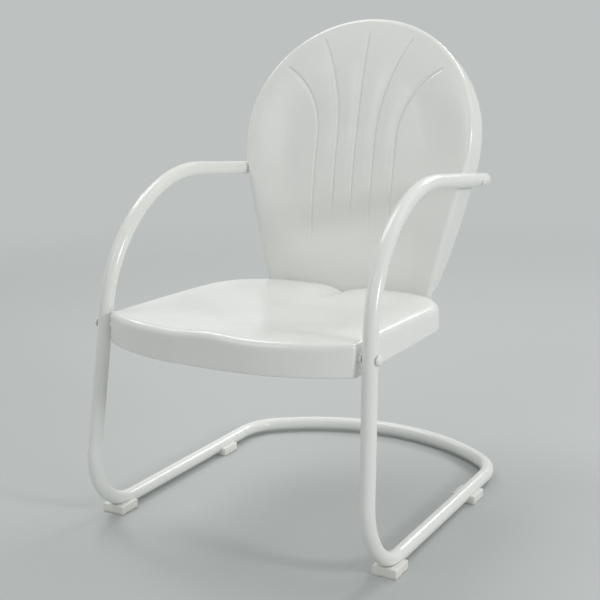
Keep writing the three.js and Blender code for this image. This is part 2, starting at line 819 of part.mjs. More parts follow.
function baseTube(side) {
  const curve = new RouteCurve(armShape.lower.pieces, (flat) => sidePoint(side, flat));
  const screwAt = new THREE.Vector3((side * runnerSpacing) / 2, screwY, runnerHeight - tubeRadius);
  return cut(tubeAlong(curve, tubeRadius, boreRadius), [
    drill(screwHoleDiameter, tubeRadius, screwAt, zAxis),
  ]);
}

function crossTube() {
  const half = runnerSpacing / 2;
  const path = route(new THREE.Vector2(half, seamY), Math.PI / 2, [
    { run: rearStraightRun, steps: 1 },
    { radius: rearCornerRadius, turn: cornerTurn, steps: 6 },
    { radius: bowRadius, turn: Math.PI - 2 * cornerTurn, steps: 12 },
    { radius: rearCornerRadius, turn: cornerTurn, steps: 6 },
    { run: rearStraightRun, steps: 1 },
  ]);
  const curve = new RouteCurve(path.pieces, (flat) => new THREE.Vector3(flat.x, flat.y, runnerHeight));
  const main = toSolid(tubeAlong(curve, tubeRadius, boreRadius));
  const stubs = [1, -1].map((side) => toSolid(swage().translate(side * half, seamY, runnerHeight)));
  const joined = stubs.reduce((solid, stub) => solid.add(stub), main);
  const holes = [1, -1].map((side) => toSolid(drill(
    screwHoleDiameter, tubeRadius, new THREE.Vector3(side * half, screwY, runnerHeight - tubeRadius), zAxis,
  )));
  return fromSolid(holes.reduce((solid, hole) => solid.subtract(hole), joined));
}

// Reduced end of the rear tube, which slides into the runner, with its shoulder
function swage() {
  const inner = swageDiameter / 2 - tubeWall;
  const shoulder = tubeRadius - swageShoulderInset;
  const profile = [
    new THREE.Vector2(inner, -swageShoulder),
    new THREE.Vector2(shoulder, -swageShoulder),
    new THREE.Vector2(shoulder, 0),
    new THREE.Vector2(swageDiameter / 2, 0),
    new THREE.Vector2(swageDiameter / 2, swageLength),
    new THREE.Vector2(inner, swageLength),
    new THREE.Vector2(inner, -swageShoulder),
  ];
  return new THREE.LatheGeometry(profile, tubeSides).rotateZ(Math.PI);
}

function armPlug() {
  const spigot = boreRadius * Math.cos(Math.PI / boreSides) - seatingGap;
  const dome = domeShares.map((riseShare) => new THREE.Vector2(
    tubeRadius * Math.sqrt(1 - riseShare * riseShare), plugShoulderRun + plugDomeHeight * riseShare,
  ));
  const profile = [
    new THREE.Vector2(0, -plugSpigotLength),
    new THREE.Vector2(spigot, -plugSpigotLength),
    new THREE.Vector2(spigot, seatingGap),
    new THREE.Vector2(tubeRadius, seatingGap),
    ...dome,
    new THREE.Vector2(0, plugShoulderRun + plugDomeHeight),
  ];
  return new THREE.LatheGeometry(profile, tubeSides);
}

// A block with its upper edges taken off, hollowed to the tube that lies in it
function glide(side, y) {
  const half = glideWidth / 2;
  const profile = new THREE.Shape([
    new THREE.Vector2(-half, 0),
    new THREE.Vector2(half, 0),
    new THREE.Vector2(half, glideHeight - glideChamfer),
    new THREE.Vector2(half - glideChamfer, glideHeight),
    new THREE.Vector2(glideChamfer - half, glideHeight),
    new THREE.Vector2(-half, glideHeight - glideChamfer),
  ]);
  const block = new THREE.ExtrudeGeometry(profile, { depth: glideLength, bevelEnabled: false });
  block.rotateX(Math.PI / 2).translate((side * runnerSpacing) / 2, y + glideLength / 2, 0);
  const curve = new RouteCurve(armShape.lower.pieces, (flat) => sidePoint(side, flat));
  return cut(block, [tubeAlong(curve, tubeRadius + seatingGap, 0)]);
}

// Frame

for (const [name, side] of [['left', 1], ['right', -1]]) {
  add(`${name}_arm_tube`, armTube(side), paint);
  add(`${name}_base_tube`, baseTube(side), paint);
  const end = armShape.upper.end;
  const heading = armShape.upper.heading;
  const ahead = end.clone().add(new THREE.Vector2(Math.cos(heading), Math.sin(heading)));
  const axis = sidePoint(side, ahead).sub(sidePoint(side, end)).normalize();
  set(add(`${name}_arm_plug`, armPlug(), plastic), sidePoint(side, end), axis);
  add(`${name}_front_glide`, glide(side, bendStartY - frontGlideBeforeBend), plastic);
  add(`${name}_rear_glide`, glide(side, seamY - rearGlideFromSeam), plastic);
  const screw = boltGeometry(screwDiameter, screwLength, screwHeadDiameter, screwHeadHeight);
  const screwFace = new THREE.Vector3((side * runnerSpacing) / 2, screwY, glideFloor - seatingGap);
  set(add(`${name}_base_screw`, screw, zinc), screwFace, zAxis.clone().negate());
}
add('rear_cross_tube', crossTube(), paint);

// Seat and back with the bolts between them

const seatBoltPlace = legPointAtHeight(1, seatBoltHeight);
const seatHoles = [1, -1].map((side) => {
  const place = new THREE.Vector3((side * seatWidth) / 2, seatBoltPlace.y, seatBoltHeight);
  return drill(boltHoleDiameter, overrun, place, xAxis);
});
const backHoles = backBoltOffsets.map((x) => drill(
  boltHoleDiameter, overrun, new THREE.Vector3(x, backFaceY, backBoltHeight), yAxis,
));
const armHoles = [1, -1].map((side) => {
  const { centre, outwards } = armBoltPlace(side);
  return drill(boltHoleDiameter, overrun, centre.clone().addScaledVector(outwards, -tubeRadius), outwards);
});
add('seat_pan', cut(seatPan(), [...seatHoles, ...backHoles]), paint);
add('back_shell', cut(backShell(), [...armHoles, ...backHoles]), paint);

backBoltOffsets.forEach((x, i) => {
  const rearFace = backFaceY + sheetThickness + seatingGap;
  const frontFace = seatRearY - sheetThickness - seatingGap;
  const length = rearFace + washerThickness + seatingGap - frontFace + nutThickness + boltTail;
  const bolt = boltGeometry(boltDiameter, length, smallHeadDiameter, smallHeadHeight);
  const headFace = rearFace + washerThickness + seatingGap;
  set(add(`back_bolt_${i + 1}`, bolt, paint), new THREE.Vector3(x, headFace, backBoltHeight), yAxis);
  const washer = ringGeometry(washerDiameter, boltHoleDiameter, washerThickness);
  set(add(`back_washer_${i + 1}`, washer, zinc), new THREE.Vector3(x, rearFace, backBoltHeight), yAxis);
  const nutPlace = new THREE.Vector3(x, frontFace, backBoltHeight);
  set(add(`back_nut_${i + 1}`, nutGeometry(), zinc), nutPlace, yAxis.clone().negate());
});

for (const [name, side] of [['left', 1], ['right', -1]]) {
  const leg = legPointAtHeight(side, seatBoltHeight);
  const tilt = Math.sin(splay);
  const outer = leg.x + side * (tubeRadius + seatingGap + (seatBoltHeadDiameter / 2) * tilt);
  const inner = leg.x - side * (tubeRadius + seatingGap + (spacerDiameter / 2) * tilt);
  const skirt = (side * seatWidth) / 2;
  const inside = skirt - side * (sheetThickness + 2 * seatingGap);
  const at = (x) => new THREE.Vector3(x, leg.y, leg.z);
  const outwards = new THREE.Vector3(side, 0, 0);
  const inwards = outwards.clone().negate();
  const length = Math.abs(outer - inside) + washerThickness + seatingGap + nutThickness + boltTail;
  const bolt = boltGeometry(boltDiameter, length, seatBoltHeadDiameter, seatBoltHeadHeight);
  set(add(`${name}_seat_bolt`, bolt, paint), at(outer), outwards);
  const spacer = ringGeometry(spacerDiameter, boltHoleDiameter, Math.abs(inner - skirt) - seatingGap);
  set(add(`${name}_seat_spacer`, spacer, plastic), at(inner), inwards);
  const washer = ringGeometry(washerDiameter, boltHoleDiameter, washerThickness);
  set(add(`${name}_seat_washer`, washer, zinc), at(inside), inwards);
  const nutX = inside - side * (washerThickness + seatingGap);
  set(add(`${name}_seat_nut`, nutGeometry(), zinc), at(nutX), inwards);
}

for (const [name, side] of [['left', 1], ['right', -1]]) {
  const { centre, outwards } = armBoltPlace(side);
  const along = (distance) => centre.clone().addScaledVector(outwards, distance);
  const inwards = outwards.clone().negate();
  const flangeInner = -(tubeRadius + armSeatGap + sheetThickness + 2 * seatingGap);
  const insert = ringGeometry(insertDiameter, boltHoleDiameter, insertLength);
  set(add(`${name}_arm_insert`, insert, zinc), along(-tubeRadius), outwards);
  const washer = ringGeometry(washerDiameter, boltHoleDiameter, washerThickness);
  set(add(`${name}_arm_washer`, washer, zinc), along(flangeInner), inwards);
  const headFace = flangeInner - washerThickness - seatingGap;
  const length = insertLength - tubeRadius - headFace;
  const bolt = boltGeometry(boltDiameter, length, smallHeadDiameter, smallHeadHeight);
  set(add(`${name}_arm_bolt`, bolt, zinc), along(headFace), inwards);
}

export default chair;
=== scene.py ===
"""Retro metal lawn chair: fine surfaces and finishes around the fixed frame.

Sizes are in metres. +Z is up, the sitter faces -Y, and left is the sitter's left, +X.
"""

import math

import bmesh
import bpy
from bpy.props import FloatProperty, FloatVectorProperty, PointerProperty
from mathutils import Matrix, Vector


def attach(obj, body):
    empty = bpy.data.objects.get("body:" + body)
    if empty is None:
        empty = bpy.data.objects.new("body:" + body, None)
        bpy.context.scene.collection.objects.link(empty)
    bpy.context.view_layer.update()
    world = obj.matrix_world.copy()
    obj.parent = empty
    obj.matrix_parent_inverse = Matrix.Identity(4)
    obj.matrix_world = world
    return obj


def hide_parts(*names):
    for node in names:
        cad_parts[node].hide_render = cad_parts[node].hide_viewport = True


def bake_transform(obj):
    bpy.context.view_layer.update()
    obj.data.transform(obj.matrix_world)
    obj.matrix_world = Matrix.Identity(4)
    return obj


bl_info = {
    "name": "Retro metal lawn chair",
    "version": (1, 0, 0),
    "blender": (4, 5, 0),
    "location": "3D View > Sidebar > Lawn chair",
    "description": "Builds the fine surfaces and finishes of a sprung metal lawn chair",
    "category": "Add Mesh",
}

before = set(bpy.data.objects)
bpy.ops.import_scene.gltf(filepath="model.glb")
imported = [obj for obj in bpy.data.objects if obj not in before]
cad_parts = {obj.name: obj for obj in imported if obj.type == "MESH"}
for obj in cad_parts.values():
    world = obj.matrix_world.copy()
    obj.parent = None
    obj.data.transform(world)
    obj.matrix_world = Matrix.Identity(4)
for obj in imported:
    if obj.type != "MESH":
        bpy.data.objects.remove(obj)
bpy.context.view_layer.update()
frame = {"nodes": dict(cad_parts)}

MM = 0.001
# Clearance between pieces that touch, thickness of the pressed sheet, and gap between arm and flange
GAP, SHEET, FLANGE_GAP = 0.3 * MM, 1.4 * MM, 1 * MM
SIDES = (("left", 1), ("right", -1))
BASE, UPPER = "base", "seat_and_arms"


def linear(code):
    """An sRGB hex colour as linear red, green and blue."""
    parts = [int(code[i : i + 2], 16) / 255 for i in (1, 3, 5)]
    return tuple(c / 12.92 if c <= 0.04045 else ((c + 0.055) / 1.055) ** 2.4 for c in parts)


def length(name, size_mm, text):
    """A length property whose default is given in millimetres."""
    return FloatProperty(name=name, description=text, default=size_mm * MM, unit="LENGTH", precision=4)


def turn(name, degrees, text):
    """An angle property whose default is given in degrees."""
    return FloatProperty(name=name, description=text, default=math.radians(degrees), subtype="ANGLE")


def colour(name, code, text):
    """A colour property whose default is an sRGB hex value."""
    return FloatVectorProperty(
        name=name, description=text, default=linear(code), size=3, min=0, max=1, subtype="COLOR"
    )


def power(name, watts, text):
    """The power of a lamp."""
    return FloatProperty(name=name, description=text, default=watts, unit="POWER")


class FrameSizes(bpy.types.PropertyGroup):
    """Bent tube frame."""

    tube_diameter: length("Tube diameter", 25.4, "Outside diameter of every bent tube")
    tube_wall: length("Tube wall", 1.5, "Wall of the tube")
    depth: length("Overall depth", 710, "From the front of the seat to the rear of the base")
    base_depth: length("Base depth", 685, "From the front of the floor bends to the rear bow")
    runner_spacing: length("Runner spacing", 545, "Between the middles of the two runners")
    glide_floor: length("Glide floor", 4, "Plastic under the runners")
    floor_bend: length("Floor bend", 108, "Radius of the bend from runner to leg")
    leg_lean: turn("Leg lean", 8.1, "How far the front legs lean back")
    leg_run: length("Leg run", 255, "Straight part of a front leg")
    knee_radius: length("Knee radius", 234, "Radius of the bend above the seat")
    knee_turn: turn("Knee turn", 29.5, "Turn of the bend above the seat")
    shoulder_radius: length("Shoulder radius", 263, "Radius of the bend from leg to arm")
    shoulder_turn: turn("Shoulder turn", 58, "Turn of the bend from leg to arm")
    arm_run: length("Arm run", 214, "Straight part of an arm")
    corner_radius: length("Corner radius", 102, "Radius of the rear corners of the base")
    corner_turn: turn("Corner turn", 49.3, "Turn of the rear corners before the bow")
    corner_run: length("Corner run", 6, "Straight part between a runner and its corner")


class BackSizes(bpy.types.PropertyGroup):
    """Pressed shell back."""

    face: length("Face place", 132, "Where the foot of the back stands, along Y")
    foot: length("Foot height", 338, "Height of the lower edge")
    lean_start: length("Lean start", 404, "Height at which the back starts to lean")
    bend: length("Bend radius", 1020, "Large radius that the face is bent to")
    top: length("Top height", 874, "Height of the chair")
    head: length("Head radius", 239, "Radius of the round head")
    taper: turn("Taper", 14, "Taper of the sides below the head")
    edge: length("Edge radius", 9, "Rounding of the edge between face and flange")
    flange_waist: length("Flange at the waist", 50, "Depth of the flange at the arms")
    flange_head: length("Flange at the head", 41, "Depth of the flange over the head")
    flange_foot: length("Flange at the foot", 2, "Depth of the flange behind the seat")
    dish: length("Dish", 11, "How far the face is dished below the head")
    groove_depth: length("Groove depth", 2.1, "Depth of the five pressed grooves")
    groove_half: length("Groove half width", 5, "From the bottom of a groove to its lip")
    crown: length("Flute crown", 0.6, "How far the face swells between two grooves")


class SeatSizes(bpy.types.PropertyGroup):
    """Pressed seat pan."""

    width: length("Width", 472, "Width of the pan")
    rim: length("Rim height", 389, "Height of the rim at the front")
    rear_drop: length("Rear drop", 14, "How much lower the rear of the rim is")
    skirt: length("Skirt", 55, "From the rim to the lower edge of the skirt")
    roll: length("Front roll", 13, "Radius of the rolled edge at the front and sides")
    rear_roll: length("Rear roll", 17, "Radius of the rolled edge at the rear corners")
    dish: length("Dish", 15, "Depth of the seat's bowl")
    front_radius: length("Front radius", 900, "Radius of the middle of the front edge")
    cheek_radius: length("Cheek radius", 350, "Radius of the front edge towards its corners")
    rear_corner: length("Rear corner", 124, "Radius of the rear corners")
    pommel: length("Pommel", 4.5, "Height of the swell in the middle of the front")
    crease: length("Crease", 13, "Depth of the crease in the middle of the rear")


class FittingSizes(bpy.types.PropertyGroup):
    """Bolts, plugs and glides."""

    bolt: length("Bolt diameter", 6, "Shank of the bolts")
    seat_bolt_height: length("Seat bolt height", 364, "Height of the bolts through the legs")
    seat_bolt_head: length("Seat bolt head", 17, "Diameter of the heads on the legs")
    seat_bolt_rise: length("Seat bolt rise", 6, "Height of the heads on the legs")
    foot_bolt_height: length("Foot bolt height", 348, "Height of the bolts through the foot of the back")
    foot_bolt_rise: length("Foot bolt rise", 3.6, "Height of the heads behind the back")
    arm_bolt_rise: length("Arm bolt rise", 4.5, "Height of the heads on the arms")
    small_head: length("Small head", 13, "Diameter of the heads on the back and the arms")
    washer: length("Washer", 12, "Outside diameter of washers and spacers")
    nut: length("Nut", 10, "Size of the nuts across their flats")
    plug_dome: length("Plug dome", 11, "Height of the dome on an arm plug")
    glide_width: length("Glide width", 44, "Width of a glide")
    glide_length: length("Glide length", 46, "Length of a glide")
    glide_height: length("Glide height", 16, "Height of a glide")


class Finishes(bpy.types.PropertyGroup):
    """Colours of the finishes."""

    paint: colour("Powder coat", "#EDEFEB", "White powder coat on frame, seat and back")
    # Real dust on faces that look up, and painted shade in hollows
    dust_and_shade: colour("Dust", "#CFCDC2", "Thin dust on faces that look up and in hollows")
    zinc: colour("Zinc plate", "#B8BDC3", "Bright zinc plate on nuts, washers and screws")
    plug: colour("Plug plastic", "#ECECE7", "Moulded plastic of plugs and spacers")
    glide: colour("Glide plastic", "#EAEAE5", "Moulded plastic of the glides")
    # Earth on the glides' soles, and painted shade in the plugs' seams and moulded corners
    soil_and_shade: colour("Soil", "#8C8470", "Earth on the soles of the glides and in the plugs' seams")


class StageSettings(bpy.types.PropertyGroup):
    """Floor, lamps and world."""

    floor: colour("Floor", "#BDC1C0", "Pale floor and background")
    key: power("Key lamp", 11, "Large lamp above the left rear")
    side: power("Side lamp", 32, "Small lamp at the left")
    low: power("Low lamp", 3, "Low wide lamp at the right rear")
    behind: power("Rear lamp", 26, "Lamp high behind the back")
    top: power("Top lamp", 23, "Lamp over the seat")
    right: power("Right lamp", 5, "Small lamp at the right")
    front: power("Front lamp", 11, "Wide lamp in front")
    sky: FloatProperty(name="Sky", description="Strength of the even light from all round", default=0.43)


class LawnChair(bpy.types.PropertyGroup):
    """Everything about the chair that a user may change."""

    frame: PointerProperty(type=FrameSizes, name="Frame")
    back: PointerProperty(type=BackSizes, name="Back")
    seat: PointerProperty(type=SeatSizes, name="Seat")
    fittings: PointerProperty(type=FittingSizes, name="Fittings")
    finishes: PointerProperty(type=Finishes, name="Finishes")
    stage: PointerProperty(type=StageSettings, name="Stage")


def chair():
    """The chair's settings in this scene."""
    return bpy.context.scene.lawn_chair


# Small sums


def mix(a, b, share):
    """The value that lies a share of the way from one to another."""
    return a + (b - a) * share


def ease(value, low, high):
    """0 at low, 1 at high, and a smooth turn between them."""
    share = min(max((value - low) / (high - low), 0), 1)
    return share * share * (3 - 2 * share)


def angles(total, steps):
    """Even steps from no angle to a total, with both ends."""
    return [total * k / steps for k in range(steps + 1)]


def way(angle):
    """The direction that an angle points in, flat."""
    return Vector((math.cos(angle), math.sin(angle)))


def trace(start, heading, moves):
    """Stations along a line drawn like a pen. A move is (length or radius, turn, steps)."""
    point = Vector(start)
    stations = [(point.copy(), heading)]
    for size, turned, steps in moves:
        part = turned / steps
        stride = 2 * size * math.sin(abs(part) / 2) if part else size / steps
        for _ in range(steps):
            point = point + stride * way(heading + part / 2)
            heading += part
            stations.append((point.copy(), heading))
    return stations


# Meshes


def piece(name, points, faces, material, sharp=40, outward=True):
    """A new mesh object. Edges sharper than a number of degrees stay crisp."""
    mesh = bpy.data.meshes.new(name)
    mesh.from_pydata([tuple(p) for p in points], [], faces)
    if outward:
        shape = bmesh.new()
        shape.from_mesh(mesh)
        bmesh.ops.recalc_face_normals(shape, faces=shape.faces)
        shape.to_mesh(mesh)
        shape.free()
    mesh.update()
    mesh.shade_smooth()
    mesh.set_sharp_from_angle(angle=math.radians(sharp))
    mesh.materials.append(material)
    obj = bpy.data.objects.new(name, mesh)
    bpy.context.scene.collection.objects.link(obj)
    return obj


def sheet_piece(name, points, faces, material):
    """A skin seen from its good side, with the sheet's thickness behind it."""
    skin = piece(name, points, faces, material, outward=False)
    solid = skin.modifiers.new("sheet", "SOLIDIFY")
    solid.thickness, solid.offset, solid.use_even_offset = SHEET, -1, True
    graph = bpy.context.evaluated_depsgraph_get()
    mesh = bpy.data.meshes.new_from_object(skin.evaluated_get(graph))
    skin.modifiers.clear()
    thin = skin.data
    skin.data = mesh
    bpy.data.meshes.remove(thin)
    mesh.name = name
    mesh.shade_smooth()
    mesh.set_sharp_from_angle(angle=math.radians(50))
    return skin


def band(first, second, wrap):
    """Quads between two rows of point numbers."""
    count = len(first)
    last = count if wrap else count - 1
    return [(first[j], first[(j + 1) % count], second[(j + 1) % count], second[j]) for j in range(last)]


def loft(rings, looped=False):
    """Points and faces of a body through closed rings of points. A looped one has no ends."""
    count = len(rings[0])
    rows = [list(range(i * count, (i + 1) * count)) for i in range(len(rings))]
    faces = [face for a, b in zip(rows, rows[1:]) for face in band(a, b, True)]
    if looped:
        faces += band(rows[-1], rows[0], True)
    else:
        faces += [tuple(reversed(rows[0])), tuple(rows[-1])]
    return [p for ring in rings for p in ring], faces


def settle(obj, body, slot, *nodes):
    """The piece rides on a body and stands for its nodes, which are hidden. The slot is not used."""
    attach(obj, body)
    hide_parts(*nodes)


# Tubes


def tube(name, line, across):
    """A painted round tube along a line of points that lies flat across a given direction."""
    sizes = chair().frame
    outer, inner = sizes.tube_diameter / 2, sizes.tube_diameter / 2 - sizes.tube_wall
    sides, blind, rounding = 44, 9, 0.5 * MM
    turns, across = angles(2 * math.pi, sides)[:-1], across.normalized()
    places = []
    for i, point in enumerate(line):
        ahead = (line[min(i + 1, len(line) - 1)] - line[max(i - 1, 0)]).normalized()
        places.append((point, across.cross(ahead), ahead))

    def ring(index, radius, shift=0.0):
        point, up, ahead = places[index]
        middle = point + ahead * shift
        return [middle + radius * (math.cos(a) * up + math.sin(a) * across) for a in turns]

    last = len(line) - 1
    rings = [ring(i, inner) for i in range(blind, 0, -1)]
    rings += [ring(0, inner), ring(0, outer - rounding), ring(0, outer, rounding)]
    rings += [ring(i, outer) for i in range(1, last)]
    rings += [ring(last, outer, -rounding), ring(last, outer - rounding), ring(last, inner)]
    rings += [ring(last - i, inner) for i in range(1, blind + 1)]
    return piece(name, *loft(rings), powder_coat("Tube powder coat"))


def runner_height():
    """Height of the middle of a runner."""
    sizes = chair().frame
    return sizes.glide_floor + sizes.tube_diameter / 2


def rear_seam():
    """Where a side tube meets the rear tube, along Y, and the bow's radius."""
    sizes = chair().frame
    cosine, sine = math.cos(sizes.corner_turn), math.sin(sizes.corner_turn)
    bow_end = sizes.runner_spacing / 2 - sizes.corner_radius * (1 - cosine)
    bow = bow_end / cosine
    rear = sizes.depth / 2 - sizes.tube_diameter / 2
    return rear - bow * (1 - sine) - sizes.corner_radius * sine - sizes.corner_run, bow


def bend_start():
    """Where a runner starts to bend up into its leg, along Y."""
    sizes = chair().frame
    return sizes.depth / 2 - sizes.base_depth + sizes.tube_diameter / 2 + sizes.floor_bend


def side_stations():
    """The side tube in its own plane, from the seam over the leg to the end of the arm."""
    sizes = chair().frame
    start = rear_seam()[0] - GAP
    return trace((start, 0), math.pi, [
        (start - bend_start(), 0, 24),
        (sizes.floor_bend, -(math.pi / 2 + sizes.leg_lean), 44),
        (sizes.leg_run, 0, 40),
        (sizes.knee_radius, -sizes.knee_turn, 24),
        (sizes.shoulder_radius, -sizes.shoulder_turn, 44),
        (sizes.arm_run, 0, 20),
    ])


def side_point(side, flat, splay):
    """A point of a side plane in space. The plane leans inwards by the splay."""
    x = chair().frame.runner_spacing / 2 - flat.y * math.sin(splay)
    return Vector((side * x, flat.x, runner_height() + flat.y * math.cos(splay)))


def side_splay():
    """The lean of the side planes that seats each arm on the flange of the back, and where it sits."""
    sizes, from_end, passes = chair().frame, 31 * MM, 5
    end, heading = side_stations()[-1]
    spot = end - from_end * way(heading)
    splay = 0.0
    for _ in range(passes):
        point, normal = flange_frame(runner_height() + spot.y * math.cos(splay))
        reach = sizes.tube_diameter / 2 + FLANGE_GAP - (spot.x - point.y) * normal.y
        splay = math.asin((sizes.runner_spacing / 2 - point.x - reach / normal.x) / spot.y)
    return splay, spot


class CHAIR_OT_side_tubes(bpy.types.Operator):
    """Bend the two side tubes, each one tube from the runner to the arm"""

    bl_idname = "chair.side_tubes"
    bl_label = "Side tubes"

    def execute(self, context):
        splay, _ = side_splay()
        for name, side in SIDES:
            line = [side_point(side, flat, splay) for flat, _ in side_stations()]
            across = Vector((side * math.cos(splay), 0, math.sin(splay)))
            obj = tube(f"{name}_side_tube", line, across)
            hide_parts(f"{name}_arm_tube", f"{name}_base_tube")
            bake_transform(obj)
        return {"FINISHED"}


class CHAIR_OT_rear_tube(bpy.types.Operator):
    """Bend the bowed rear tube that joins the two runners"""

    bl_idname = "chair.rear_tube"
    bl_label = "Rear tube"

    def execute(self, context):
        sizes = chair().frame
        seam, bow = rear_seam()
        corner = [(sizes.corner_run, 0, 2), (sizes.corner_radius, sizes.corner_turn, 26)]
        middle = (bow, math.pi - 2 * sizes.corner_turn, 70)
        flat = trace((sizes.runner_spacing / 2, seam), math.pi / 2, [*corner, middle, *corner[::-1]])
        line = [Vector((p.x, p.y, runner_height())) for p, _ in flat]
        settle(tube("rear_bow_tube", line, Vector((0, 0, 1))), BASE, "frame_paint", "rear_cross_tube")
        return {"FINISHED"}


# Back shell. Its points are laid out flat as (x, run), and then bent to the large radius.

# Offset from the middle, bend radius, turn, and the run at which the groove reaches full depth
GROOVES = {
    "outer": (83 * MM, 148 * MM, math.radians(60), 90 * MM),
    "inner": (40 * MM, 362 * MM, math.radians(30.5), 120 * MM),
    "middle": (0, 0, 0, 125 * MM),
}
# The run at which the grooves bend outwards, the middle one's length beyond it, and how grooves fade out
GROOVE_BEND, MIDDLE_REACH, GROOVE_FADE, GROOVE_TIP = 257 * MM, 197 * MM, 50 * MM, 12 * MM
# Columns of points across a groove in millimetres, rows along it, and columns between the grooves
ACROSS_GROOVE = (-8, -5.6, -4.6, -3.8, -3, -2.2, -1.4, -0.7, 0, 0.7, 1.4, 2.2, 3, 3.8, 4.6, 5.6, 8)
ROWS_FOOT, ROWS_SIDE, ROWS_BEND, ROWS_HEAD = 24, 36, 38, 16
GAP_COLUMNS = (30, 10, 10, 10, 10, 30)
# The flange is deepest at the waist, and sweeps in to the foot. It leans out, and ends in a rolled hem.
WAIST_RUN, FLANGE_FOOT_RUN, FLANGE_DRAFT, HEM_RADIUS = 120 * MM, -26 * MM, math.radians(0.5), 1.9 * MM


def back_foot():
    """The run at the foot of the back. It is counted from where the back starts to lean."""
    return chair().back.foot - chair().back.lean_start


def head_centre():
    """The run at the middle of the round head."""
    back = chair().back
    lean = math.asin((back.top - back.edge - back.lean_start) / (back.bend - back.edge))
    return back.bend * lean + back.edge - back.head


def back_point(x, run, depth):
    """The bent place of a flat point that lies some depth behind the face."""
    back = chair().back
    lean = max(run, 0) / back.bend
    y = back.face + back.bend * (1 - math.cos(lean)) + depth * math.cos(lean)
    z = back.lean_start + min(run, 0) + back.bend * math.sin(lean) - depth * math.sin(lean)
    return Vector((x, y, z))


def side_x(run, inset):
    """How far from the middle the tapered side lies at a run, an inset within the outline."""
    back = chair().back
    return (back.head - inset - (head_centre() - run) * math.sin(back.taper)) / math.cos(back.taper)


def on_head(x, run):
    """Whether a point lies in the round head, above the lines where the straight sides start."""
    return run - head_centre() > -abs(x) * math.tan(chair().back.taper)


def inside_outline(x, run):
    """Distance from a point of the face to the line where the edge starts to turn."""
    back = chair().back
    if on_head(x, run):
        return back.head - back.edge - math.hypot(x, run - head_centre())
    return (side_x(run, back.edge) - abs(x)) * math.cos(back.taper)


def outward(point):
    """The way out of the outline at a point of its edge."""
    if on_head(point.x, point.y):
        return Vector((point.x, point.y - head_centre())).normalized()
    taper = chair().back.taper
    return Vector((math.copysign(math.cos(taper), point.x), -math.sin(taper)))


def dish_at(x, run):
    """How far the face is dished. It fades out at the edge and the foot, and is shallower in the head."""
    edge_fade, foot_fade, head_run, head_dish = 95 * MM, 90 * MM, 430 * MM, 4 * MM
    depth = mix(chair().back.dish, head_dish, ease(run, GROOVE_BEND, head_run))
    return depth * ease(inside_outline(x, run), 0, edge_fade) * ease(run, 0, foot_fade)


def flange_depth(run):
    """The flange is deepest at the waist, and sweeps in to a narrow lip behind the seat."""
    back = chair().back
    below = max(0, WAIST_RUN - run) / (WAIST_RUN - FLANGE_FOOT_RUN)
    sweep = math.sqrt(max(0, 1 - below * below))
    full = mix(back.flange_waist, back.flange_head, ease(run, WAIST_RUN, GROOVE_BEND))
    return mix(back.flange_foot, full, sweep)


def flange_frame(z):
    """The outer face of the flange half way back at a height: a point and the way it faces."""
    back, passes = chair().back, 5

    def on_flange(run, share):
        depth = flange_depth(run) * share
        return back_point(side_x(run, 0) + depth * math.tan(FLANGE_DRAFT) / math.cos(back.taper),
                          run, back.edge + depth)

    run = back.bend * math.asin((z - back.lean_start) / back.bend)
    for _ in range(passes):
        run += z - on_flange(run, 0.5).z
    point = on_flange(run, 0.5)
    up = on_flange(run + MM, 0.5) - point
    rearwards = on_flange(run, 1) - point
    return point, rearwards.cross(up).normalized()


def onto_crest(point):
    """The point of the head's crest that lies outwards of a point."""
    back = chair().back
    centre = Vector((0, head_centre()))
    return centre + (point - centre).normalized() * (back.head - back.edge)


def groove_column(groove, sign, shift):
    """A column of the face that runs beside a groove: its points and how deep each is pressed."""
    offset, radius, turned, foot = GROOVES[groove]
    back, roundness = chair().back, 1.5
    start = (sign * offset + shift, back_foot())
    bend = (radius - sign * shift, -sign * turned, ROWS_BEND) if radius else (MIDDLE_REACH, 0, ROWS_BEND)
    stations = trace(start, math.pi / 2, [
        (-back_foot(), 0, ROWS_FOOT), (GROOVE_BEND, 0, ROWS_SIDE), bend,
    ])
    end, heading = stations[-1]
    middle = end - Vector((0, head_centre()))
    along, crest = middle.dot(way(heading)), back.head - back.edge
    reach = -along + math.sqrt(along * along - middle.length_squared + crest * crest)
    points = [p for p, _ in stations]
    points += [end + way(heading) * reach * (i + 1) / ROWS_HEAD for i in range(ROWS_HEAD)]
    wall = max(0, 1 - abs(shift) / back.groove_half) ** roundness
    column = []
    for i, point in enumerate(points):
        beyond = max(0, i - len(stations) + 1) * reach / ROWS_HEAD
        fade = ease(point.y, foot - GROOVE_FADE, foot) * (1 - ease(beyond, 0, GROOVE_TIP))
        column.append((point, back.groove_depth * wall * fade))
    return column


def edge_column(sign):
    """The crest of the edge, up the straight side and a little way round the head."""
    back, beyond = chair().back, math.radians(14)
    foot, crest = back_foot(), back.head - back.edge
    waist = head_centre() - crest * math.sin(back.taper)
    stations = trace((sign * side_x(foot, back.edge), foot), math.pi / 2 - sign * back.taper, [
        (-foot / math.cos(back.taper), 0, ROWS_FOOT),
        (waist / math.cos(back.taper), 0, ROWS_SIDE),
        (crest, sign * (back.taper + beyond), ROWS_BEND + ROWS_HEAD),
    ])
    return [(p, 0.0) for p, _ in stations]


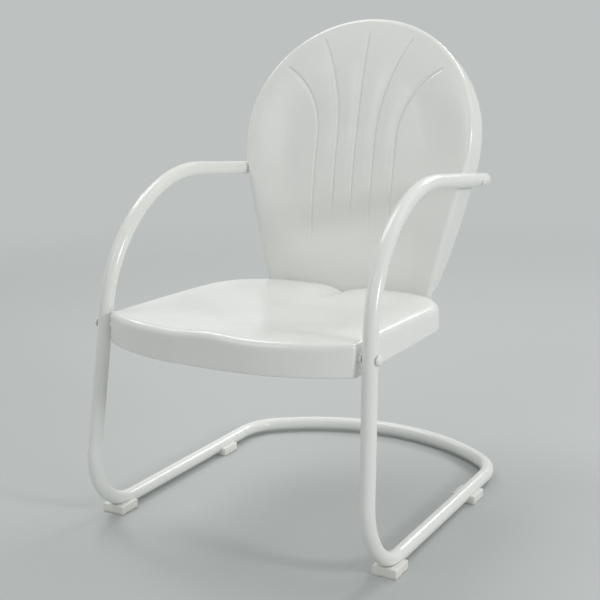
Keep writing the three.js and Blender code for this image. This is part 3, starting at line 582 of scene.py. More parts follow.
def face_columns():
    """All columns of the face, from the right edge to the left one."""
    groups = [[edge_column(-1)]]
    for groove, sign in (("outer", -1), ("inner", -1), ("middle", 1), ("inner", 1), ("outer", 1)):
        groups.append([groove_column(groove, sign, shift * MM) for shift in ACROSS_GROOVE])
    groups.append([edge_column(1)])
    crown, crown_start, columns = chair().back.crown, 95 * MM, list(groups[0])
    rows, straight = len(columns[0]), ROWS_FOOT + ROWS_SIDE
    for place, (before, after, count) in enumerate(zip(groups, groups[1:], GAP_COLUMNS)):
        for k in range(1, count + 1):
            share = k / (count + 1)
            swell = crown * math.sin(math.pi * share) if 0 < place < len(GAP_COLUMNS) - 1 else 0
            tip = before[-1][-1][0].lerp(after[0][-1][0], share)
            pull = onto_crest(tip) - tip
            column = []
            for i in range(rows):
                point = before[-1][i][0].lerp(after[0][i][0], share)
                point = point + pull * max(0, (i - straight) / (ROWS_BEND + ROWS_HEAD)) ** 2
                fade = ease(point.y, crown_start, GROOVE_BEND) * (1 - ease(i, rows - 2 * ROWS_HEAD, rows - 1))
                column.append((point, -swell * fade))
            columns.append(column)
        columns += after
    return columns


def edge_profile(run):
    """The edge in section, as (out, back) from its crest: the round, the flange and its hem."""
    edge, steps = chair().back.edge, 9
    depth, lean = flange_depth(run), math.tan(FLANGE_DRAFT)
    profile = [(edge * math.sin(a), edge * (1 - math.cos(a))) for a in angles(math.pi / 2, steps)[1:]]
    profile += [(edge + depth * share * lean, edge + depth * share) for share in (0.1, 0.3, 0.5, 0.7, 0.9, 1)]
    for a in map(math.radians, (25, 55, 90, 130, 170)):
        out = edge + depth * lean - HEM_RADIUS * (1 - math.cos(a))
        profile.append((out, edge + depth + HEM_RADIUS * math.sin(a)))
    return profile


class CHAIR_OT_back_shell(bpy.types.Operator):
    """Press the shell back with its dish, five grooves, rounded edge, flange and hem"""

    bl_idname = "chair.back_shell"
    bl_label = "Back shell"

    def execute(self, context):
        columns = face_columns()
        rows, points = len(columns[0]), []
        grid = [[] for _ in range(rows)]
        for column in columns:
            for i, (point, pressed) in enumerate(column):
                grid[i].append(len(points))
                points.append(back_point(point.x, point.y, dish_at(point.x, point.y) + pressed))
        faces = [f for a, b in zip(grid, grid[1:]) for f in band(a, b, False)]
        border = [(columns[0][i][0], grid[i][0]) for i in range(rows)]
        border += [(columns[j][-1][0], grid[-1][j]) for j in range(1, len(columns) - 1)]
        border += [(columns[-1][i][0], grid[i][-1]) for i in reversed(range(rows))]
        profiles = [edge_profile(point.y) for point, _ in border]
        ring = [number for _, number in border]
        for k in range(len(profiles[0])):
            following = []
            for (point, _), profile in zip(border, profiles):
                out, depth = profile[k]
                place = point + outward(point) * out
                following.append(len(points))
                points.append(back_point(place.x, place.y, depth))
            faces += band(ring, following, False)
            ring = following
        paint = powder_coat("Pressed back powder coat", pressed=True)
        obj = sheet_piece("pressed_back", points, faces, paint)
        settle(obj, UPPER, "back_paint", "back_shell")
        return {"FINISHED"}


# Seat pan

# Rings from the middle of the seat to its crest, and the front edge's middle arc and corners
SEAT_RINGS, FRONT_HALF_FLAT, FRONT_CORNER = 40, 70 * MM, 10 * MM


def seat_outline():
    """Stations round the skirt, from the middle of the front: a point and the way out."""
    seat, back = chair().seat, chair().back
    half, rear = seat.width / 2, back.face - GAP
    front_turn = math.asin(FRONT_HALF_FLAT / seat.front_radius)
    cheek_end = math.asin(
        (half - FRONT_HALF_FLAT + seat.cheek_radius * math.sin(front_turn) - FRONT_CORNER)
        / (seat.cheek_radius - FRONT_CORNER)
    )
    front = trace((0, -chair().frame.depth / 2), 0, [
        (seat.front_radius, front_turn, 16),
        (seat.cheek_radius, cheek_end - front_turn, 34),
        (FRONT_CORNER, math.pi / 2 - cheek_end, 8),
    ])
    side_run = rear - seat.rear_corner - front[-1][0].y
    rest = trace(front[-1][0], math.pi / 2, [
        (side_run, 0, 56), (seat.rear_corner, math.pi / 2, 40), (half - seat.rear_corner, 0, 34),
    ])
    stations = [(p, Vector((math.sin(h), -math.cos(h)))) for p, h in front + rest[1:]]
    mirror = Vector((-1, 1))
    return stations + [(p * mirror, out * mirror) for p, out in reversed(stations[1:-1])]


def roll_at(x, y):
    """The rolled edge is tighter at the front corners and wider at the rear ones."""
    seat, blend, tight = chair().seat, 60 * MM, 0.85 * FRONT_CORNER
    corner_across, corner_ahead = (195 * MM, 226 * MM), (262 * MM, 298 * MM)
    roll = mix(seat.roll, seat.rear_roll, ease(y, -blend, blend))
    return mix(roll, tight, ease(abs(x), *corner_across) * ease(-y, *corner_ahead))


def rim_height(y):
    """The rim is level at the front and curves down to the rear."""
    seat, half = chair().seat, chair().frame.depth / 2
    share = max(0, (y + half) / (chair().back.face + half))
    return seat.rim - seat.rear_drop * share * share


def front_crest(x):
    """Where the crest of the front edge lies along Y at a distance from the middle."""
    seat = chair().seat
    x = min(abs(x), seat.width / 2 - 2 * seat.roll)
    turned = math.asin(min(x, FRONT_HALF_FLAT) / seat.front_radius)
    behind = seat.front_radius * (1 - math.cos(turned))
    if x > FRONT_HALF_FLAT:
        sine = (x - FRONT_HALF_FLAT + seat.cheek_radius * math.sin(turned)) / seat.cheek_radius
        behind += seat.cheek_radius * (math.cos(turned) - math.sqrt(1 - sine * sine))
    return seat.roll - chair().frame.depth / 2 + behind


def seat_height(x, y):
    """The top face of the seat: a bowl, a swell at the front and a crease at the rear."""
    seat, rear, roll = chair().seat, chair().back.face - GAP, roll_at(x, y)
    fullness, front_slope, rear_slope = 1.7, 200 * MM, 150 * MM
    pommel_half, pommel_run = 45 * MM, (205 * MM, 355 * MM)
    crease_half, crease_run, sharpness = 60 * MM, 110 * MM, 2.2
    half = seat.width / 2 - roll
    corner_y, corner = rear - seat.rear_corner, seat.rear_corner - roll
    if y > corner_y:
        rise = min(1, (y - corner_y) / corner)
        half = seat.width / 2 - seat.rear_corner + corner * math.sqrt(1 - rise * rise)
    across = min(1, abs(x) / max(half, MM))
    bowl = 0.5 * (1 + math.cos(math.pi * across ** fullness))
    bowl *= ease(y - front_crest(x), 0, front_slope) * ease(rear - roll - y, 0, rear_slope)
    pommel = math.exp(-((x / pommel_half) ** 2)) * ease(-y, *pommel_run)
    crease = max(0, 1 - abs(x) / crease_half) ** sharpness * ease(y, rear - crease_run, rear - seat.roll)
    return rim_height(y) - seat.dish * bowl + seat.pommel * pommel - seat.crease * crease


class CHAIR_OT_seat_pan(bpy.types.Operator):
    """Press the seat pan with its bowl, rolled edge, skirt and hem"""

    bl_idname = "chair.seat_pan"
    bl_label = "Seat pan"

    def execute(self, context):
        seat, outline = chair().seat, seat_outline()
        crowding, steps, lip = 1.35, 10, 6 * MM
        middle = Vector((0, (chair().back.face - chair().frame.depth / 2) / 2))
        radii = [roll_at(p.x, p.y) for p, _ in outline]
        crest = [p - out * radius for (p, out), radius in zip(outline, radii)]
        tops = [seat_height(top.x, top.y) for top in crest]
        points = [Vector((*middle, seat_height(*middle)))]
        rings = []

        def ring(places, heights):
            rings.append([len(points) + i for i in range(len(outline))])
            points.extend(Vector((*place, z)) for place, z in zip(places, heights))

        def inwards(distance):
            return [p - out * distance for p, out in outline]

        for k in range(1, SEAT_RINGS + 1):
            share = 1 - (1 - k / SEAT_RINGS) ** crowding
            spots = [middle.lerp(top, share) for top in crest]
            ring(spots, [seat_height(spot.x, spot.y) for spot in spots])
        for a in angles(math.pi / 2, steps)[1:]:
            places = [top + out * r * math.sin(a) for top, (_, out), r in zip(crest, outline, radii)]
            ring(places, [top - r * (1 - math.cos(a)) for top, r in zip(tops, radii)])
        bottom = seat.rim - seat.skirt
        roll_ends = [points[n].z for n in rings[-1]]
        for share in (0.15, 0.4, 0.7, 0.92, 1):
            ring(inwards(0), [mix(end, bottom + HEM_RADIUS, share) for end in roll_ends])
        for a in map(math.radians, (30, 60, 90)):
            height = bottom + HEM_RADIUS * (1 - math.sin(a))
            ring(inwards(HEM_RADIUS * (1 - math.cos(a))), [height] * len(outline))
        ring(inwards(lip), [bottom] * len(outline))
        first = rings[0]
        faces = [(0, first[i], first[(i + 1) % len(first)]) for i in range(len(first))]
        faces += [tuple(reversed(f)) for a, b in zip(rings, rings[1:]) for f in band(a, b, True)]
        paint = powder_coat("Pressed seat powder coat", pressed=True)
        obj = sheet_piece("pressed_seat", points, faces, paint)
        settle(obj, UPPER, "seat_paint", "seat_pan")
        return {"FINISHED"}


# Turned and moulded fittings. Each is drawn along +Z and then set to a point and an axis.

BOLT_HOLE, WASHER_THICK, NUT_THICK, THREAD_PAST_NUT = 6.9 * MM, 1.2 * MM, 5 * MM, 3 * MM


def round_form(a):
    """How far a round reaches at an angle, as a share of its radius."""
    return 1.0


def hex_form(a):
    """How far a hexagon reaches at an angle, as a share of half its width across flats."""
    return 1 / math.cos((a + math.pi / 6) % (math.pi / 3) - math.pi / 6)


def cross_form(a):
    """A cross of two bars, each four times as long as it is wide."""
    cosine, sine = max(abs(math.cos(a)), 1e-6), max(abs(math.sin(a)), 1e-6)
    width = 0.25
    return max(min(1 / cosine, width / sine), min(1 / sine, width / cosine))


def fitting(name, profile, point, axis, material, looped=False, sharp=35):
    """A body turned from (radius, height, form) rings, and set to a point and an axis."""
    turns = angles(2 * math.pi, 48)[:-1]
    pose = Matrix.Translation(point) @ Vector((0, 0, 1)).rotation_difference(axis).to_matrix().to_4x4()
    rings = []
    for radius, height, *form in profile:
        shape = form[0] if form else round_form
        spots = [(radius * shape(a), a) for a in turns]
        rings.append([pose @ Vector((r * math.cos(a), r * math.sin(a), height)) for r, a in spots])
    return piece(name, *loft(rings, looped), material, sharp=sharp)


def thread(radius, low, high, pitch=1 * MM):
    """Rings of a cut thread between two heights. Its pitch is that of an M6 bolt."""
    deep, rings, z = 0.5 * MM, [], low
    while z < high - pitch:
        rings += [(radius - deep, z), (radius, z + pitch / 2)]
        z += pitch
    return rings


def dome(radius, height, steps=8):
    """Rings of a flattened dome that stops just short of its top."""
    return [(radius * math.cos(a), height * math.sin(a)) for a in angles(math.pi / 2, steps)[:-1]]


def bolt(name, node, head, rise, shank_length, point, axis):
    """A painted bolt with a domed head above the point and a threaded shank below it."""
    shank = chair().fittings.bolt / 2
    threaded, lip = 12 * MM, 0.5 * MM
    profile = [(shank - 0.6 * MM, -shank_length)]
    profile += thread(shank, 0.4 * MM - shank_length, min(threaded - shank_length, 0))
    profile += [(shank, min(threaded - shank_length, -0.2 * MM)), (shank, 0), (head / 2 - 0.3 * MM, 0)]
    profile += [(r, lip + z) for r, z in dome(head / 2, rise - lip)]
    profile += [(0.06 * head, rise * 0.995)]
    obj = fitting(name, profile, point, axis, powder_coat("Painted bolt head"))
    settle(obj, UPPER, "bolt_paint", node)


def washer(name, node, point, axis, thick=WASHER_THICK, plastic=False):
    """A flat ring with rounded edges round a bolt: a zinc plated washer or a plastic spacer."""
    r, bore, rounding = chair().fittings.washer / 2, BOLT_HOLE / 2, min(0.3 * MM, thick / 4)
    profile = [
        (bore, 0), (r - rounding, 0), (r, rounding), (r, thick - rounding), (r - rounding, thick),
        (bore + rounding, thick), (bore, thick - rounding),
    ]
    material, slot = (moulded_plug(), "white_plastic") if plastic else (zinc_plate(), "zinc_plate")
    settle(fitting(name, profile, point, axis, material, looped=True), UPPER, slot, node)


def hex_nut(name, node, point, axis):
    """A hexagon nut with turned chamfers and a threaded hole."""
    flats, bore, chamfer = chair().fittings.nut / 2, BOLT_HOLE / 2, 0.7 * MM
    tip, countersink = flats * 1.02, 0.4 * MM
    profile = [
        (bore, 0), (tip, 0), (flats, chamfer, hex_form), (flats, NUT_THICK - chamfer, hex_form),
        (tip, NUT_THICK), (bore + countersink, NUT_THICK), (bore, NUT_THICK - countersink),
    ]
    settle(fitting(name, profile, point, axis, zinc_plate(), looped=True), UPPER, "zinc_plate", node)


def leg_at(height, side):
    """The middle of a front leg at a height."""
    splay, _ = side_splay()
    stations = [side_point(side, flat, splay) for flat, _ in side_stations()]
    for low, high in zip(stations, stations[1:]):
        if low.z <= height < high.z:
            return low.lerp(high, (height - low.z) / (high.z - low.z))
    raise ValueError("the leg does not reach that height")


class CHAIR_OT_seat_bolts(bpy.types.Operator):
    """Bolt each front leg to the seat's skirt through a spacer, with a washer and a nut"""

    bl_idname = "chair.seat_bolts"
    bl_label = "Seat bolts"

    def execute(self, context):
        sizes, tube_radius = chair().fittings, chair().frame.tube_diameter / 2
        head, rise = sizes.seat_bolt_head, sizes.seat_bolt_rise
        tilt = math.sin(side_splay()[0])
        for name, side in SIDES:
            leg = leg_at(sizes.seat_bolt_height, side)
            outer = leg.x + side * (tube_radius + GAP + head / 2 * tilt)
            inner = leg.x - side * (tube_radius + GAP + sizes.washer / 2 * tilt)
            skirt = side * chair().seat.width / 2
            inside = skirt - side * (SHEET + 2 * GAP)
            nut_face = inside - side * (WASHER_THICK + GAP)
            out, space = Vector((side, 0, 0)), abs(inner - skirt) - GAP
            reach = abs(outer - nut_face) + NUT_THICK + THREAD_PAST_NUT

            def at(x):
                return Vector((x, leg.y, leg.z))

            bolt(f"{name}_leg_bolt", f"{name}_seat_bolt", head, rise, reach, at(outer), out)
            washer(f"{name}_leg_spacer", f"{name}_seat_spacer", at(inner), -out, space, plastic=True)
            washer(f"{name}_skirt_washer", f"{name}_seat_washer", at(inside), -out)
            hex_nut(f"{name}_skirt_nut", f"{name}_seat_nut", at(nut_face), -out)
        return {"FINISHED"}


class CHAIR_OT_back_bolts(bpy.types.Operator):
    """Bolt the foot of the back to the seat's rear skirt at four places"""

    bl_idname = "chair.back_bolts"
    bl_label = "Back bolts"

    def execute(self, context):
        sizes, face = chair().fittings, chair().back.face
        offsets = (-96 * MM, -36 * MM, 36 * MM, 96 * MM)
        rear, front = face + SHEET + GAP, face - GAP - SHEET - GAP
        head_face = rear + WASHER_THICK + GAP
        reach = head_face - front + NUT_THICK + THREAD_PAST_NUT
        head, rise = sizes.small_head, sizes.foot_bolt_rise
        out, height = Vector((0, 1, 0)), sizes.foot_bolt_height
        for i, x in enumerate(offsets, 1):
            spot = Vector((x, head_face, height))
            bolt(f"foot_bolt_{i}", f"back_bolt_{i}", head, rise, reach, spot, out)
            washer(f"foot_washer_{i}", f"back_washer_{i}", Vector((x, rear, height)), out)
            hex_nut(f"foot_nut_{i}", f"back_nut_{i}", Vector((x, front, height)), -out)
        return {"FINISHED"}


class CHAIR_OT_arm_fittings(bpy.types.Operator):
    """Bolt each arm through to the flange of the back, and close its open end with a plug"""

    bl_idname = "chair.arm_fittings"
    bl_label = "Arm fittings"

    def execute(self, context):
        sizes, radius = chair().fittings, chair().frame.tube_diameter / 2
        splay, spot = side_splay()
        end, heading = side_stations()[-1]
        for name, side in SIDES:
            centre = side_point(side, spot, splay)
            _, normal = flange_frame(centre.z)
            out = Vector((side * normal.x, normal.y, normal.z))
            inner = -(radius + FLANGE_GAP + SHEET + 2 * GAP)
            nut_face, outer = inner - WASHER_THICK - GAP, radius + GAP
            reach = outer - nut_face + NUT_THICK + THREAD_PAST_NUT
            head, rise = sizes.small_head, sizes.arm_bolt_rise
            washer(f"{name}_flange_washer", f"{name}_arm_washer", centre + out * inner, -out)
            hex_nut(f"{name}_flange_nut", f"{name}_arm_bolt", centre + out * nut_face, -out)
            bolt(f"{name}_flange_bolt", f"{name}_arm_bolt", head, rise, reach, centre + out * outer, out)
            insert = frame["nodes"][f"{name}_arm_insert"].data.materials
            insert.clear()
            insert.append(zinc_plate())
            tip = side_point(side, end, splay)
            beyond = side_point(side, end + way(heading), splay)
            self.plug(f"{name}_arm_end", f"{name}_arm_plug", tip, (beyond - tip).normalized())
        return {"FINISHED"}

    def plug(self, name, node, point, axis):
        """A domed plug with a neck under its dome and a spigot in the tube."""
        frame_sizes, dome_height = chair().frame, chair().fittings.plug_dome
        radius, wall = frame_sizes.tube_diameter / 2, frame_sizes.tube_wall
        facets, shoulder, spigot, shadow = 10, 2.5 * MM, 16 * MM, 0.3 * MM
        bore = (radius - wall) * math.cos(math.pi / facets) - GAP
        neck, under = radius - wall - 0.6 * MM, shoulder - shadow
        profile = [(bore - 1 * MM, -spigot), (bore, 1 * MM - spigot), (bore, GAP), (neck, GAP)]
        profile += [(neck, under), (radius - 0.5 * MM, under)]
        profile += [(r, shoulder + z) for r, z in dome(radius - 0.1 * MM, dome_height, 14)]
        profile += [(0.4 * MM, shoulder + dome_height)]
        settle(fitting(name, profile, point, axis, moulded_plug(), sharp=60), UPPER, "white_plastic", node)


class CHAIR_OT_base_screws(bpy.types.Operator):
    """Drive a screw up through each runner into the reduced end of the rear tube"""

    bl_idname = "chair.base_screws"
    bl_label = "Base screws"

    def execute(self, context):
        sizes, (seam, _) = chair().frame, rear_seam()
        head, rise, shank, long, pitch = 5 * MM, 1.8 * MM, 2 * MM, 9 * MM, 1.4 * MM
        point, lip, from_seam = 1.5 * MM, 0.2 * MM, 22 * MM
        profile = [(0.2 * MM, -long), (shank - 0.5 * MM, point - long)]
        profile += thread(shank, point - long + pitch / 2, -pitch / 2, pitch)
        profile += [(shank, -lip), (shank, 0), (head - 0.2 * MM, 0)]
        profile += [(r, lip + h) for r, h in dome(head, rise - lip, 7)[:-1]]
        top = profile[-1][1]
        for reach, height in ((2.4 * MM, top), (2.1 * MM, top - 0.3 * MM), (1.2 * MM, 0.3 * MM)):
            profile.append((reach, height, cross_form))
        for name, side in SIDES:
            place = Vector((side * sizes.runner_spacing / 2, seam - from_seam, sizes.glide_floor - GAP))
            obj = fitting(f"{name}_runner_screw", profile, place, Vector((0, 0, -1)), zinc_plate())
            settle(obj, BASE, "zinc_plate", f"{name}_base_screw")
        return {"FINISHED"}


class CHAIR_OT_glides(bpy.types.Operator):
    """Mould the four saddle glides under the runners"""

    bl_idname = "chair.glides"
    bl_label = "Glides"

    def execute(self, context):
        from_bend, from_seam = 36 * MM, 75 * MM
        places = (("front", bend_start() - from_bend), ("rear", rear_seam()[0] - from_seam))
        for name, side in SIDES:
            for end, y in places:
                obj = piece(f"{name}_{end}_saddle", *loft(self.rings(side, y)), moulded_glide(), sharp=38)
                settle(obj, BASE, "glide_plastic", f"{name}_{end}_glide")
        return {"FINISHED"}

    def rings(self, side, middle):
        """Sections along a glide, a block with softened edges that is hollowed to seat the tube."""
        half, rounding, count = chair().fittings.glide_length / 2, 1 * MM, 24
        turns = angles(math.pi / 2, 3)
        ends = [(half - rounding * (1 - math.cos(a)), rounding * (1 - math.sin(a))) for a in turns]
        run = 2 * (half - rounding)
        stations = [(-y, inset) for y, inset in ends]
        stations += [(k / count * run - run / 2, 0) for k in range(1, count)] + ends[::-1]
        x = side * chair().frame.runner_spacing / 2
        return [[Vector((x + across, middle + y, z)) for across, z in self.section(middle + y, inset)]
                for y, inset in stations]

    def section(self, y, inset):
        """A section across a glide. In front it is cut away where the tube bends up."""
        sizes, frame_sizes = chair().fittings, chair().frame
        wide, high, soft, steps = sizes.glide_width / 2 - inset, sizes.glide_height - inset, 1.5 * MM, 5
        seat_radius, seat_steps = frame_sizes.tube_diameter / 2 + GAP, 32
        bend, centre = frame_sizes.floor_bend, runner_height() + frame_sizes.floor_bend
        behind = min(0, y - bend_start())

        def under_tube(x):
            reach = bend + math.sqrt(max(0, seat_radius ** 2 - x * x))
            return centre - math.sqrt(reach * reach - behind * behind)

        turns = angles(math.pi / 2, steps)
        half_side = [(wide - soft * (1 - math.sin(a)), inset + soft * (1 - math.cos(a))) for a in turns]
        half_side += [(wide - soft * (1 - math.cos(a)), high - soft * (1 - math.sin(a))) for a in turns]
        seat = [seat_radius * math.cos(a) for a in angles(math.pi, seat_steps)]
        saddle = [(x, min(high, under_tube(x))) for x in seat]
        return half_side + saddle + [(-x, z) for x, z in reversed(half_side)]


# Finishes


def add(tree, kind, inputs=(), **settings):
    """Adds a shader node with its settings. An input is a value, a socket, or a node's first output."""
    made = tree.nodes.new("ShaderNode" + kind)
    for key, value in settings.items():
        setattr(made, key, value)
    for key, value in dict(inputs).items():
        if isinstance(value, bpy.types.Node):
            value = value.outputs[0]
        if isinstance(value, bpy.types.NodeSocket):
            tree.links.new(value, made.inputs[key])
        else:
            made.inputs[key].default_value = value
    return made


def new_material(name):
    """An empty node material, its node tree, and the place of a point on the object."""
    material = bpy.data.materials.new(name)
    material.use_nodes = True
    material.node_tree.nodes.clear()
    return material, material.node_tree, add(material.node_tree, "TexCoord").outputs["Object"]


def rgba(values):
    return (*values, 1.0)


def per_metre(size_mm):
    """Texture scale that gives features of a size in millimetres."""
    return 1 / (size_mm * MM)


def powder_coat(name, pressed=False):
    """White polyester powder coat on mild steel, sprayed dry and baked.

    It flows to a hard gloss skin with orange peel. On pressed sheet the steel under it is
    not quite flat, so broad reflections waver. Dust dulls the faces that look up, and the
    dust colour also darkens hollows as painted shade.
    """
    if name in bpy.data.materials:
        return bpy.data.materials[name]
    colours = chair().finishes
    material, tree, place = new_material(name)
    # Orange peel is 1 to 2 mm wide. It is drawn at 3 mm so that it shows.
    peel = add(tree, "TexNoise", {"Vector": place, "Scale": per_metre(3), "Detail": 2.0, "Roughness": 0.45})
    # The film's thickness drifts over a hand's width, and its shade with it
    drift = add(tree, "TexNoise", {"Vector": place, "Scale": per_metre(90), "Detail": 3.0, "Roughness": 0.55})
    # Handling marks, some 14 mm across, with fine detail
    marks = add(tree, "TexNoise", {
        "Vector": place, "Scale": per_metre(14), "Detail": 6.0, "Roughness": 0.7, "Distortion": 0.6,
    })
    geometry = add(tree, "NewGeometry").outputs
    up = add(tree, "SeparateXYZ", {"Vector": geometry["Normal"]}).outputs["Z"]
    looks_up = add(tree, "MapRange", {"Value": up, "From Min": 0.2, "From Max": 1.0, "To Max": 0.05})
    # Painted shade: hollows and creases, where pointiness is low, take the dust colour and come out darker
    hollow_shade = add(tree, "MapRange", {
        "Value": geometry["Pointiness"], "From Min": 0.5, "From Max": 0.43, "To Max": 0.15,
    })
    up_dust_and_hollow_shade = add(tree, "Math", {0: looks_up, 1: hollow_shade}, operation="ADD")
    patchy = add(tree, "MapRange", {"Value": marks, "From Min": 0.3, "From Max": 0.75, "To Min": 0.3})
    dust_and_shade = add(tree, "Math", {0: up_dust_and_hollow_shade, 1: patchy}, operation="MULTIPLY", use_clamp=True)
    shade = add(tree, "MapRange", {
        "Value": drift, "From Min": 0.3, "From Max": 0.7, "To Min": 0.965, "To Max": 1.0,
    })
    paint = add(tree, "Mix", {0: 1.0, 6: rgba(colours.paint), 7: shade},
                data_type="RGBA", blend_type="MULTIPLY")
    dust_and_shade_tint = add(tree, "Mix", {0: dust_and_shade, 6: paint.outputs[2], 7: rgba(colours.dust_and_shade)}, data_type="RGBA")
    gloss = add(tree, "MapRange", {
        "Value": marks, "From Min": 0.3, "From Max": 0.7, "To Min": 0.16, "To Max": 0.23,
    })
    rough = add(tree, "Math", {0: dust_and_shade, 1: 0.35, 2: gloss}, operation="MULTIPLY_ADD")
    skin = add(tree, "Bump", {"Height": peel, "Strength": 0.5, "Distance": 0.03 * MM})
    if pressed:
        # Pressed sheet is out of flat by a tenth of a millimetre or so over 70 mm
        waves = add(tree, "TexNoise", {"Vector": place, "Scale": per_metre(70), "Detail": 1.0})
        skin = add(tree, "Bump", {"Height": waves, "Strength": 0.6, "Distance": 0.5 * MM, "Normal": skin})
    shader = add(tree, "BsdfPrincipled", {
        "Base Color": dust_and_shade_tint.outputs[2], "Roughness": rough, "Normal": skin, "IOR": 1.5,
    })
    add(tree, "OutputMaterial", {"Surface": shader})
    return material


def zinc_plate():
    """Bright zinc plate on turned and stamped steel: a pale bluish metal with cloudy patches."""
    name = "Bright zinc plate"
    if name in bpy.data.materials:
        return bpy.data.materials[name]
    material, tree, place = new_material(name)
    # Plating clouds are a few millimetres wide, and tool marks a fraction of one
    clouds = add(tree, "TexNoise", {"Vector": place, "Scale": per_metre(4), "Detail": 4.0, "Roughness": 0.6})
    grain = add(tree, "TexNoise", {
        "Vector": place, "Scale": per_metre(0.5), "Detail": 3.0, "Roughness": 0.65,
    })
    dull, bright = rgba(linear("#9AA0A6")), rgba(chair().finishes.zinc)
    tone = add(tree, "Mix", {0: clouds, 6: dull, 7: bright}, data_type="RGBA")
    rough = add(tree, "MapRange", {
        "Value": clouds, "From Min": 0.3, "From Max": 0.7, "To Min": 0.42, "To Max": 0.26,
    })
    marks = add(tree, "Bump", {"Height": grain, "Strength": 0.35, "Distance": 0.02 * MM})
    shader = add(tree, "BsdfPrincipled", {
        "Base Color": tone.outputs[2], "Roughness": rough, "Normal": marks, "Metallic": 1.0,
    })
    add(tree, "OutputMaterial", {"Surface": shader})
    return material


def moulded(name, base, rub_height, grain_mm):
    """Moulded plastic with the fine grain of a spark eroded mould, earth low down, and painted shade in
    corners.
    """
    if name in bpy.data.materials:
        return bpy.data.materials[name]
    material, tree, place = new_material(name)
    grain = add(tree, "TexNoise", {
        "Vector": place, "Scale": per_metre(grain_mm), "Detail": 3.0, "Roughness": 0.6,
    })
    scuffs = add(tree, "TexNoise", {"Vector": place, "Scale": per_metre(6), "Detail": 6.0, "Roughness": 0.72})
    height = add(tree, "SeparateXYZ", {"Vector": place}).outputs["Z"]
    low = add(tree, "MapRange", {"Value": height, "From Min": rub_height, "From Max": 0.0, "To Max": 0.9})
    patch = add(tree, "MapRange", {"Value": scuffs, "From Min": 0.4, "From Max": 0.65})
    pointiness = add(tree, "NewGeometry").outputs["Pointiness"]
    # Painted shade: concave corners and seams, where pointiness is low, take the soil colour and come out
    # darker
    corners = add(tree, "MapRange", {"Value": pointiness, "From Min": 0.48, "From Max": 0.4, "To Max": 0.9})
    earth_and_shade = add(tree, "Math", {0: low, 1: patch, 2: corners}, operation="MULTIPLY_ADD", use_clamp=True)
    tint = add(tree, "Mix", {0: earth_and_shade, 6: rgba(base), 7: rgba(chair().finishes.soil_and_shade)}, data_type="RGBA")
    rough = add(tree, "MapRange", {
        "Value": scuffs, "From Min": 0.3, "From Max": 0.7, "To Min": 0.38, "To Max": 0.55,
    })
    bump = add(tree, "Bump", {"Height": grain, "Strength": 0.4, "Distance": 0.03 * MM})
    shader = add(tree, "BsdfPrincipled", {
        "Base Color": tint.outputs[2], "Roughness": rough, "Normal": bump, "IOR": 1.52,
    })
    add(tree, "OutputMaterial", {"Surface": shader})
    return material


def moulded_plug():
    """White polyethylene of the arm plugs and spacers, satin from its mould, with painted shade in its seams.
    """
    return moulded("Moulded white polyethylene", chair().finishes.plug, 1 * MM, 1.2)


def moulded_glide():
    """White nylon of the glides, dull and with earth rubbed into the sole."""
    return moulded("Moulded nylon glide", chair().finishes.glide, 4 * MM, 1.0)


# Stage

# Where each lamp hangs and its diameter, in metres
LAMPS = {
    "key": ((2.3, 1.3, 2.9), 2.2),
    "side": ((3.2, -0.6, 1.5), 0.7),
    "low": ((-1.6, 2.6, 0.95), 2.0),
    "behind": ((0.6, 2.9, 2.3), 1.2),
    "top": ((-1.35, 0.25, 2.8), 1.4),
    "right": ((-2.4, 0.6, 2.2), 0.5),
    "front": ((-0.6, -2.6, 2.4), 1.6),
}
LAMP_TARGET = (0, 0, 0.5)


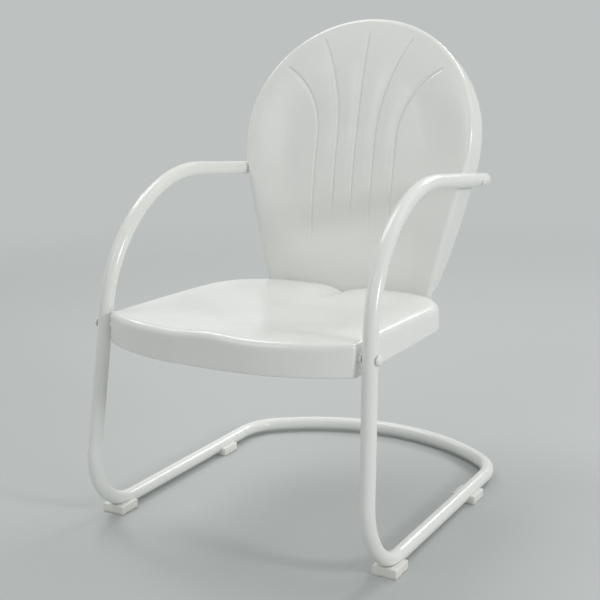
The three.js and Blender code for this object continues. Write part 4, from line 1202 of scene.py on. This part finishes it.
class CHAIR_OT_stage(bpy.types.Operator):
    """Lay the pale floor, hang the soft lamps and set up the camera"""

    bl_idname = "chair.stage"
    bl_label = "Stage"

    def execute(self, context):
        scene = context.scene
        self.floor()
        self.world(scene)
        for name, (place, size) in LAMPS.items():
            self.lamp(scene, f"{name}_lamp", place, size, getattr(chair().stage, name))
        self.camera(scene)
        scene.view_settings.view_transform = "Standard"
        return {"FINISHED"}

    def floor(self):
        """A round floor whose edge fades into the background. Its rings are closer in the middle."""
        rings, sides, radius, crowding = 24, 96, 6.0, 1.5
        points = [(0, 0, 0)]
        for k in range(1, rings + 1):
            r = radius * (k / rings) ** crowding
            points += [(r * math.cos(a), r * math.sin(a), 0) for a in angles(2 * math.pi, sides)[:-1]]
        rows = [list(range(1 + k * sides, 1 + (k + 1) * sides)) for k in range(rings)]
        faces = [(0, rows[0][i], rows[0][(i + 1) % sides]) for i in range(sides)]
        faces += [tuple(reversed(f)) for a, b in zip(rows, rows[1:]) for f in band(a, b, True)]
        piece("floor", points, faces, self.floor_finish(), outward=False)

    def floor_finish(self):
        """Matt pale paint on a studio floor, a little uneven. It fades out far from the chair."""
        material, tree, place = new_material("Studio floor paint")
        fade_start, fade_end = 1.1, 3.4
        trowel = add(tree, "TexNoise", {"Vector": place, "Scale": per_metre(350), "Detail": 4.0})
        rough = add(tree, "MapRange", {"Value": trowel, "To Min": 0.6, "To Max": 0.75})
        paint = add(tree, "BsdfPrincipled", {
            "Base Color": rgba(chair().stage.floor), "Roughness": rough, "IOR": 1.45,
        })
        reach = add(tree, "VectorMath", {0: place}, operation="LENGTH").outputs["Value"]
        fade = add(tree, "MapRange", {"Value": reach, "From Min": fade_start, "From Max": fade_end},
                   interpolation_type="SMOOTHSTEP")
        both = add(tree, "MixShader", {0: fade, 1: paint, 2: add(tree, "BsdfTransparent")})
        add(tree, "OutputMaterial", {"Surface": both})
        return material

    def world(self, scene):
        """Even white light, in front of which the camera and reflections see the pale background."""
        stage = chair().stage
        scene.world = bpy.data.worlds.new("Studio")
        scene.world.use_nodes = True
        tree = scene.world.node_tree
        tree.nodes.clear()
        path = add(tree, "LightPath").outputs
        seen = add(tree, "Math", {0: path["Is Camera Ray"], 1: path["Is Glossy Ray"]}, operation="MAXIMUM")
        seen = add(tree, "Math", {0: seen, 1: path["Is Transmission Ray"]}, operation="MAXIMUM")
        light = add(tree, "Background", {"Color": (1, 1, 1, 1), "Strength": stage.sky})
        backdrop = add(tree, "Background", {"Color": rgba(stage.floor), "Strength": 1.0})
        both = add(tree, "MixShader", {0: seen, 1: light, 2: backdrop})
        add(tree, "OutputWorld", {"Surface": both})

    def lamp(self, scene, name, place, size, watts):
        light = bpy.data.lights.new(name, "AREA")
        light.shape, light.size, light.energy = "DISK", size, watts
        obj = bpy.data.objects.new(name, light)
        obj.location = place
        obj.rotation_euler = (Vector(LAMP_TARGET) - Vector(place)).to_track_quat("-Z", "Y").to_euler()
        obj.visible_camera = False
        scene.collection.objects.link(obj)

    def camera(self, scene):
        """The photo's own viewpoint: left of the chair's front, at the height of its top."""
        place, sensor_mm, lens_mm, far = (1.0078, -1.8275, 0.8559), 36, 70.03, 50
        yaw, pitch, roll = math.radians(29.531), math.radians(-13.045), math.radians(-0.676)
        lens = bpy.data.cameras.new("camera")
        lens.sensor_width, lens.lens, lens.clip_end = sensor_mm, lens_mm, far
        level = Matrix.Rotation(yaw, 4, "Z") @ Matrix.Rotation(math.pi / 2 + pitch, 4, "X")
        eye = bpy.data.objects.new("camera", lens)
        eye.matrix_world = Matrix.Translation(place) @ level @ Matrix.Rotation(roll, 4, "Z")
        scene.collection.objects.link(eye)
        scene.camera = eye


OPERATORS = (
    CHAIR_OT_side_tubes, CHAIR_OT_rear_tube, CHAIR_OT_seat_pan, CHAIR_OT_back_shell, CHAIR_OT_seat_bolts,
    CHAIR_OT_back_bolts, CHAIR_OT_arm_fittings, CHAIR_OT_base_screws, CHAIR_OT_glides, CHAIR_OT_stage,
)


class CHAIR_PT_build(bpy.types.Panel):
    """Lists the chair's sizes and the pieces to build"""

    bl_label = "Lawn chair"
    bl_idname = "CHAIR_PT_build"
    bl_space_type = "VIEW_3D"
    bl_region_type = "UI"
    bl_category = "Lawn chair"

    def draw(self, context):
        settings = context.scene.lawn_chair
        for name in settings.__annotations__:
            group = getattr(settings, name)
            box = self.layout.box()
            box.label(text=name.capitalize())
            for key in group.__annotations__:
                box.prop(group, key)
        for operator in OPERATORS:
            self.layout.operator(operator.bl_idname)


GROUPS = (FrameSizes, BackSizes, SeatSizes, FittingSizes, Finishes, StageSettings, LawnChair)


def register():
    for item in (*GROUPS, *OPERATORS, CHAIR_PT_build):
        bpy.utils.register_class(item)
    bpy.types.Scene.lawn_chair = PointerProperty(type=LawnChair)


def unregister():
    del bpy.types.Scene.lawn_chair
    for item in reversed((*GROUPS, *OPERATORS, CHAIR_PT_build)):
        bpy.utils.unregister_class(item)


def main():
    register()
    for operator in OPERATORS:
        group, name = operator.bl_idname.split(".")
        getattr(getattr(bpy.ops, group), name)()


if __name__ == "__main__":
    main()
